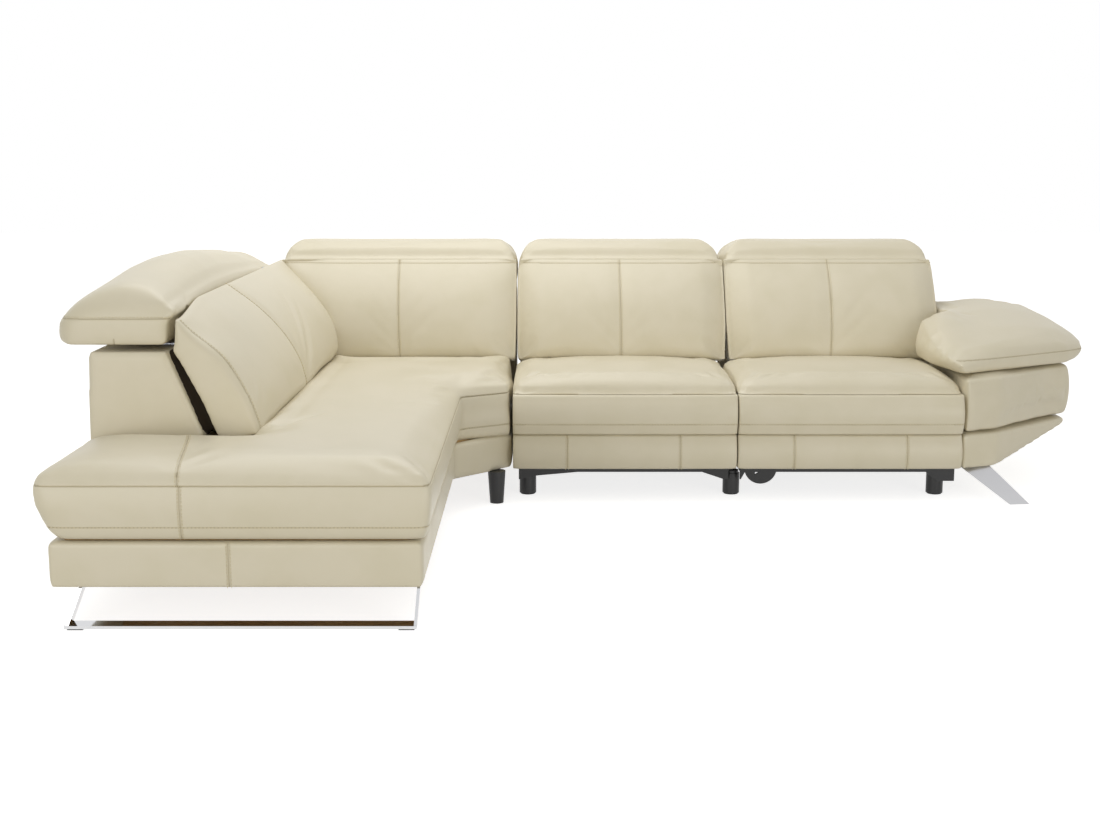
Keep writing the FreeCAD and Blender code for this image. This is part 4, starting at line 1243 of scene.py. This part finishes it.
@dataclass
class Chaise:
    """The chaise and the corner seat: base panels and one long cushion, in metres."""

    body: str = "sofa_base"
    base_seam: float = -0.622
    front_seam: float = 0.373
    top_stitch: float = 0.268

    def base(self) -> bpy.types.Object:
        """The padded panels round the base."""
        front = (0.0, -1.0, 0.0)
        return Cover(
            "chaise_base_panels", "chaise_base_leather", self.body,
            voxel=0.011, rounds=2, fill=0.95,
            seams=[
                Seam((self.base_seam, 0.0, 0.0), (1.0, 0.0, 0.0), front, Sewing.DOUBLE,
                     high=(9.0, -1.30, 9.0), lean=0.6),
            ],
        ).build()

    def bedding(self, places: np.ndarray, normals: np.ndarray) -> np.ndarray:
        """Raises the seat under the back cushions and draws its foot over the base.

        Args:
            places: The points of the cushion.
            normals: Its normals.

        Returns:
            The moved points.
        """
        moved = places.copy()
        top = ease((places[:, 2] - 0.37) / 0.03)
        beside = ease((-0.545 - places[:, 0]) / 0.06) * ease((places[:, 1] + 0.93) / 0.05)
        behind = ease((places[:, 1] - 0.46) / 0.07)
        moved[:, 2] += 0.018 * top * np.maximum(beside, behind)
        # At the inside corner the foot stands out a little, and hangs over the base.
        outward = np.array((0.54, -0.84, 0.0))
        facing = ease((normals @ outward - 0.5) / 0.3)
        low = ease((0.33 - places[:, 2]) / 0.05)
        notch = ease((places[:, 0] + 0.16) / 0.04) * ease((places[:, 1] + 0.16) / 0.04)
        push = 0.014 * facing * low * notch * ease((0.12 - places[:, 1]) / 0.04)
        moved += push[:, None] * outward
        moved[:, 2] -= 0.011 * notch * ease((0.275 - places[:, 2]) / 0.03)
        return moved

    def cushion(self) -> bpy.types.Object:
        """The long seat cushion with its front seam, top stitching and joining seams."""
        around = (
            ((0.0, -1.0, 0.0), (-9.0, -9.0, -9.0), (9.0, 0.20, 9.0)),
            ((1.0, 0.0, 0.0), (-0.60, -9.0, -9.0), (9.0, 0.10, 9.0)),
            ((-1.0, 0.0, 0.0), (-9.0, -9.0, -9.0), (-1.0, -0.90, 9.0)),
            ((0.55, -0.85, 0.0), (-0.15, -0.10, -9.0), (0.05, 0.06, 9.0)),
            ((0.0, 1.0, 0.0), (-9.0, -1.0, -9.0), (-0.6, -0.85, 9.0)),
        )
        seams = []
        levels = ((self.front_seam, Sewing.PLAIN), (self.top_stitch, Sewing.TOPSTITCH))
        for facing, lowest, highest in around:
            for level, sewing in levels:
                seams.append(Seam(
                    (0.0, 0.0, level), (0.0, 0.0, 1.0), facing, sewing, lowest, highest, 0.45,
                ))
        # The joining seam bends over the top, then drops straight down the front.
        route = [
            (-0.733, -1.42), (-0.742, -1.36), (-0.757, -1.22), (-0.783, -1.06), (-0.812, -0.93),
        ]
        seams += seam_chain(route, (0.0, -0.7, 1.0), Sewing.DOUBLE, (0.374, 0.6))
        seams.append(Seam((-0.734, -1.38, 0.0), (1.0, 0.03, 0.0), (0.0, -1.0, 0.0), Sewing.DOUBLE,
                          (-9.0, -9.0, -9.0), (9.0, -1.30, 0.372), 0.5))
        return Cover(
            "chaise_seat_cushion", "chaise_seat_leather", self.body,
            voxel=0.014, rounds=3, draw_in=0.002, cap=0.008, fill=0.8, seams=seams,
            shape=self.bedding,
            holds=lambda places, normals: (normals[:, 2] < -0.4) | (places[:, 2] < 0.262),
        ).build()

    def build(self) -> None:
        """Builds the chaise's covers."""
        self.base()
        self.cushion()


@dataclass
class RecliningSeat:
    """One reclining seat: its cushion and the two padded faces of its footrest."""

    prefix: str
    body: str
    footrest_body: str
    panel_seams: tuple[float, float]

    def cushion(self) -> bpy.types.Object:
        """The seat cushion with its rounded nose."""
        return Cover(
            f"{self.prefix}_seat_cushion", f"{self.prefix}_seat_leather", self.body,
            voxel=0.008, rounds=2, draw_in=0.001, cap=0.006, fill=0.8,
            growth=(0.002, 0.0, 0.0, 0.002, 0.0, 0.0), shape=self.nose,
            holds=lambda places, normals: (normals[:, 2] < -0.3) | (places[:, 2] < 0.36),
        ).build()

    @staticmethod
    def nose(places: np.ndarray, normals: np.ndarray) -> np.ndarray:
        """Lets the lip of the seat hang to just above the footrest, and fills its rear edge.

        Args:
            places: The points of the cushion.
            normals: Its normals; not used.

        Returns:
            The moved points.
        """
        moved = places.copy()
        lip = ease((0.095 - places[:, 1]) / 0.02) * ease((0.395 - places[:, 2]) / 0.02)
        moved[:, 2] -= 0.004 * lip
        front = places[:, 1] < 0.085
        moved[:, 2] = np.where(front, squared(moved[:, 2], 0.366, 0.022, 2.0), moved[:, 2])
        for edge, reach in ((moved[:, 0].min(), 0.016), (moved[:, 0].max(), -0.016)):
            moved[:, 0] = squared(moved[:, 0], edge, reach)
        rear = ease((places[:, 1] - 0.47) / 0.06) * ease((places[:, 2] - 0.36) / 0.03)
        moved[:, 2] += 0.010 * rear
        return moved

    @staticmethod
    def crisp(places: np.ndarray, normals: np.ndarray) -> np.ndarray:
        """Tightens the edges of a band of the footrest, which meets its neighbours closely.

        Args:
            places: The points of the band.
            normals: Its normals; not used.

        Returns:
            The moved points.
        """
        moved = places.copy()
        for axis, width in ((0, 0.014), (2, 0.016)):
            low, high = moved[:, axis].min(), moved[:, axis].max()
            moved[:, axis] = squared(moved[:, axis], low, width, 1.9)
            moved[:, axis] = squared(moved[:, axis], high, -width, 1.9)
        return moved

    def band(self, part: str, fill: float, top: float, hang: float, seams: list[Seam]) -> None:
        """One padded face of the footrest.

        Args:
            part: What it is called after the seat's own name.
            fill: How tight it is; not used.
            top: How far it stands proud of its node's top.
            hang: How far it hangs below its node's foot.
            seams: Its seams.
        """
        Cover(
            f"{self.prefix}_{part}", f"{self.prefix}_{part}_leather", self.footrest_body,
            voxel=0.006, rounds=2, levels=0, fill=fill,
            growth=(0.003, 0.0, hang, 0.003, 0.0, top), shape=self.crisp, seams=seams,
        ).build()

    def build(self) -> None:
        """Builds the seat's covers: the cushion, the calf rest under its nose and the panel."""
        front = (0.0, -1.0, 0.0)
        self.cushion()
        self.band("footrest_pad", 0.8, 0.002, 0.001, [
            Seam((0.0, 0.0, 0.268), (0.0, 0.0, 1.0), front, Sewing.TOPSTITCH, lean=0.5),
        ])
        self.band("footrest_panel", 0.9, 0.001, 0.0, [
            Seam((station, 0.0, 0.0), (1.0, 0.0, 0.0), front, Sewing.DOUBLE, lean=0.4)
            for station in self.panel_seams
        ])


@dataclass
class Arm:
    """The arm: two upholstered panels and the slanted pad on top."""

    body: str = "sofa_base"

    @staticmethod
    def lobe(places: np.ndarray, normals: np.ndarray) -> np.ndarray:
        """Rounds the lobe of the pad that wraps in front of the back cushion.

        Args:
            places: The points of the pad.
            normals: Its normals; not used.

        Returns:
            The moved points.
        """
        moved = places.copy()
        inner = ease((1.74 - places[:, 0]) / 0.18)
        top = ease((places[:, 2] - 0.44) / 0.09)
        moved[:, 2] += 0.034 * inner * top * ease((places[:, 1] - 0.12) / 0.32)
        bend = ((places[:, 0] - 1.64) / 0.06) ** 2 + ((places[:, 1] - 0.50) / 0.09) ** 2
        moved[:, 2] += 0.022 * top * np.exp(-bend)
        lean = ease((places[:, 2] - 0.46) / 0.09) * ease((1.61 - places[:, 0]) / 0.10)
        moved[:, 0] += 0.030 * lean
        return moved

    @staticmethod
    def side_bulge(places: np.ndarray, normals: np.ndarray) -> np.ndarray:
        """Fills the outer side of the panel out.

        Args:
            places: The points of the panel.
            normals: Its normals.

        Returns:
            The moved points.
        """
        moved = places.copy()
        level = np.clip((places[:, 2] - 0.232) / 0.196, 0.0, 1.0)
        bell = np.clip(4.0 * level * (1.0 - level), 0.0, 1.0) ** 0.4
        moved[:, 0] += 0.030 * bell * ease((places[:, 0] - 1.93) / 0.10)
        facing = ease((-normals[:, 1] - 0.2) / 0.5)
        moved[:, 1] -= 0.006 * bell * facing
        return moved

    def build(self) -> None:
        """Builds the arm's covers."""
        slant = (0.5, -0.85, 0.0)
        Cover("arm_lower_panel", "arm_lower_leather", self.body, voxel=0.010, rounds=3,
              fill=0.95).build()
        Cover("arm_side_panel", "arm_side_leather", self.body, voxel=0.010, rounds=3, draw_in=0.001,
              cap=0.006, fill=0.9, shape=self.side_bulge,
              holds=lambda places, normals: normals[:, 1] > 0.2).build()
        Cover("arm_pad", "arm_pad_leather", self.body, voxel=0.011, rounds=20, draw_in=0.002,
              cap=0.008, fill=0.8, growth=(0.0, 0.004, 0.0, 0.004, 0.0, 0.006),
              shape=self.lobe, melt=lambda places: 0.5 * ease((places[:, 0] - 2.00) / 0.05),
              seams=[Seam((0.0, 0.0, 0.474), (0.0, 0.0, 1.0), slant, Sewing.PLAIN, lean=0.2)],
              holds=lambda places, normals: normals[:, 2] < -0.4).build()


HARD_FINISHES = {
    "timber": Finish.TIMBER,
    "webbing": Finish.WEBBING,
    "polished_chrome": Finish.CHROME,
    "satin_steel": Finish.SATIN_STEEL,
    "black_plastic": Finish.BLACK_PLASTIC,
    "black_steel": Finish.BLACK_STEEL,
    "zinc_steel": Finish.ZINC,
}


def finish_hard_nodes() -> None:
    """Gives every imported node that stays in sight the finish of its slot."""
    for entry in frame["record"]["subparts"]:
        finish = HARD_FINISHES.get(entry.get("material_slot"))
        if finish is None:
            continue
        materials = frame["nodes"][entry["node"]].data.materials
        if not materials:
            materials.append(None)
        for index in range(len(materials)):
            materials[index] = Workshop.material(finish)


@dataclass
class Studio:
    """A pale floor and world, soft lamps and the camera. Sizes are in metres."""

    camera_place: Point = (0.181, -5.019, 1.214)
    camera_pitch: float = 10.19
    lens: float = 49.55
    floor_reach: float = 30.0

    def backdrop(self) -> None:
        """The floor, which keeps a faint shadow, and a world that the camera sees as white."""
        half = self.floor_reach / 2
        mesh = bpy.data.meshes.new("studio_floor")
        mesh.from_pydata(
            [(-half, -half, 0.0), (half, -half, 0.0), (half, half, 0.0), (-half, half, 0.0)],
            [], [(0, 1, 2, 3)],
        )
        floor = piece_from("studio_floor", mesh)
        material, tree = new_material("matt_white_floor")
        seen = self.seen_directly(tree)
        lit = add_node(
            tree, "ShaderNodeBsdfDiffuse", values={"Color": (0.62, 0.61, 0.59, 1.0)},
        )
        glow = add_node(
            tree, "ShaderNodeEmission", values={"Color": (1.0, 1.0, 1.0, 1.0)},
            links={"Strength": self.scaled(tree, seen, 0.80)},
        )
        both = add_node(
            tree, "ShaderNodeAddShader", links={0: lit.outputs[0], 1: glow.outputs[0]},
        )
        close_material(tree, both)
        mesh.materials.append(material)
        world = bpy.data.worlds.new("pale_room")
        bpy.context.scene.world = world
        world.use_nodes = True
        tree = world.node_tree
        tree.nodes.clear()
        seen = self.seen_directly(tree)
        strength = add_node(
            tree, "ShaderNodeMapRange", values={"To Min": 0.50, "To Max": 1.0},
            links={"Value": seen},
        )
        sky = add_node(
            tree, "ShaderNodeBackground", values={"Color": (1.0, 1.0, 1.0, 1.0)},
            links={"Strength": strength.outputs[0]},
        )
        add_node(tree, "ShaderNodeOutputWorld", links={"Surface": sky.outputs[0]})

    @staticmethod
    def seen_directly(tree: bpy.types.NodeTree) -> bpy.types.NodeSocket:
        """A socket that is one for rays of the camera, of mirrors and of glass."""
        path = add_node(tree, "ShaderNodeLightPath").outputs
        mirrored = add_node(
            tree, "ShaderNodeMath", settings={"operation": "MAXIMUM"},
            links={0: path["Is Glossy Ray"], 1: path["Is Transmission Ray"]},
        )
        seen = add_node(
            tree, "ShaderNodeMath", settings={"operation": "MAXIMUM"},
            links={0: path["Is Camera Ray"], 1: mirrored.outputs[0]},
        )
        return seen.outputs[0]

    @staticmethod
    def scaled(
        tree: bpy.types.NodeTree, socket: bpy.types.NodeSocket, factor: float,
    ) -> bpy.types.NodeSocket:
        """A socket times a number."""
        item = add_node(
            tree, "ShaderNodeMath", settings={"operation": "MULTIPLY"},
            values={1: factor}, links={0: socket},
        )
        return item.outputs[0]

    def lamp(self, name: str, place: Point, aim: Point, size: float, watts: float) -> None:
        """Hangs one soft square lamp and turns it to a point.

        Args:
            name: The lamp's name.
            place: Where it hangs.
            aim: The point it is turned to.
            size: The side of its square.
            watts: Its power.
        """
        light = bpy.data.lights.new(name, "AREA")
        light.shape = "SQUARE"
        light.size = size
        light.energy = watts
        item = bpy.data.objects.new(name, light)
        item.location = place
        way = Vector(aim) - Vector(place)
        item.rotation_euler = way.to_track_quat("-Z", "Y").to_euler()
        bpy.context.scene.collection.objects.link(item)

    def camera(self) -> None:
        """The camera at the photograph's place and angle."""
        view = bpy.data.cameras.new("front_view")
        view.sensor_width = 36.0
        view.lens = self.lens
        view.clip_end = 100.0
        item = bpy.data.objects.new("front_view", view)
        item.location = self.camera_place
        item.rotation_euler = (math.radians(90.0 - self.camera_pitch), 0.0, 0.0)
        bpy.context.scene.collection.objects.link(item)
        bpy.context.scene.camera = item

    def build(self) -> None:
        """Sets up the whole studio."""
        bpy.context.scene.view_settings.view_transform = "Standard"
        self.camera()
        self.backdrop()
        self.lamp("overhead_box", (-0.4, 1.0, 3.4), (0.1, 0.1, 0.3), 2.8, 56.0)
        self.lamp("front_left_box", (-2.4, -5.6, 0.9), (-0.2, -0.8, 0.30), 2.4, 65.0)
        self.lamp("front_right_box", (3.6, -4.8, 0.8), (0.9, 0.0, 0.30), 2.4, 60.0)


def main() -> None:
    """Builds the sofa's looks in order."""
    logging.basicConfig(level=logging.INFO, format="%(name)s %(message)s")
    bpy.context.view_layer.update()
    Studio().build()
    finish_hard_nodes()
    Chaise().build()
    hump = (
        (-0.886, -0.010), (-0.73, 0.0), (-0.60, 0.012), (-0.45, 0.026), (-0.30, 0.032),
        (-0.11, 0.029), (0.11, 0.014), (0.30, 0.0), (0.48, -0.020), (0.66, -0.030),
    )
    Back("left", "sofa_base", "left_headrest", (-0.640, -0.135, 0.442), (-0.845, -0.231, 0.755),
         (-0.882,), crown=hump, rounds=12).build()
    Back("corner", "sofa_base", "corner_headrest", (-0.374, 0.530, 0.43), (-0.391, 0.760, 0.76),
         (), (0.0, 0.004)).build()
    Back("mid", "mid_back", "mid_headrest", (0.444, 0.530, 0.43), (0.444, 0.760, 0.76),
         (), (0.004, 0.010)).build()
    Back("right", "right_back", "right_headrest", (1.220, 0.530, 0.43), (1.234, 0.760, 0.76),
         (), (0.010, 0.004)).build()
    RecliningSeat("mid", "sofa_base", "mid_footrest", (0.239, 0.623)).build()
    RecliningSeat("right", "sofa_base", "right_footrest", (1.010, 1.393)).build()
    Arm().build()
    Stitching().build()


if __name__ == "__main__":
    main()
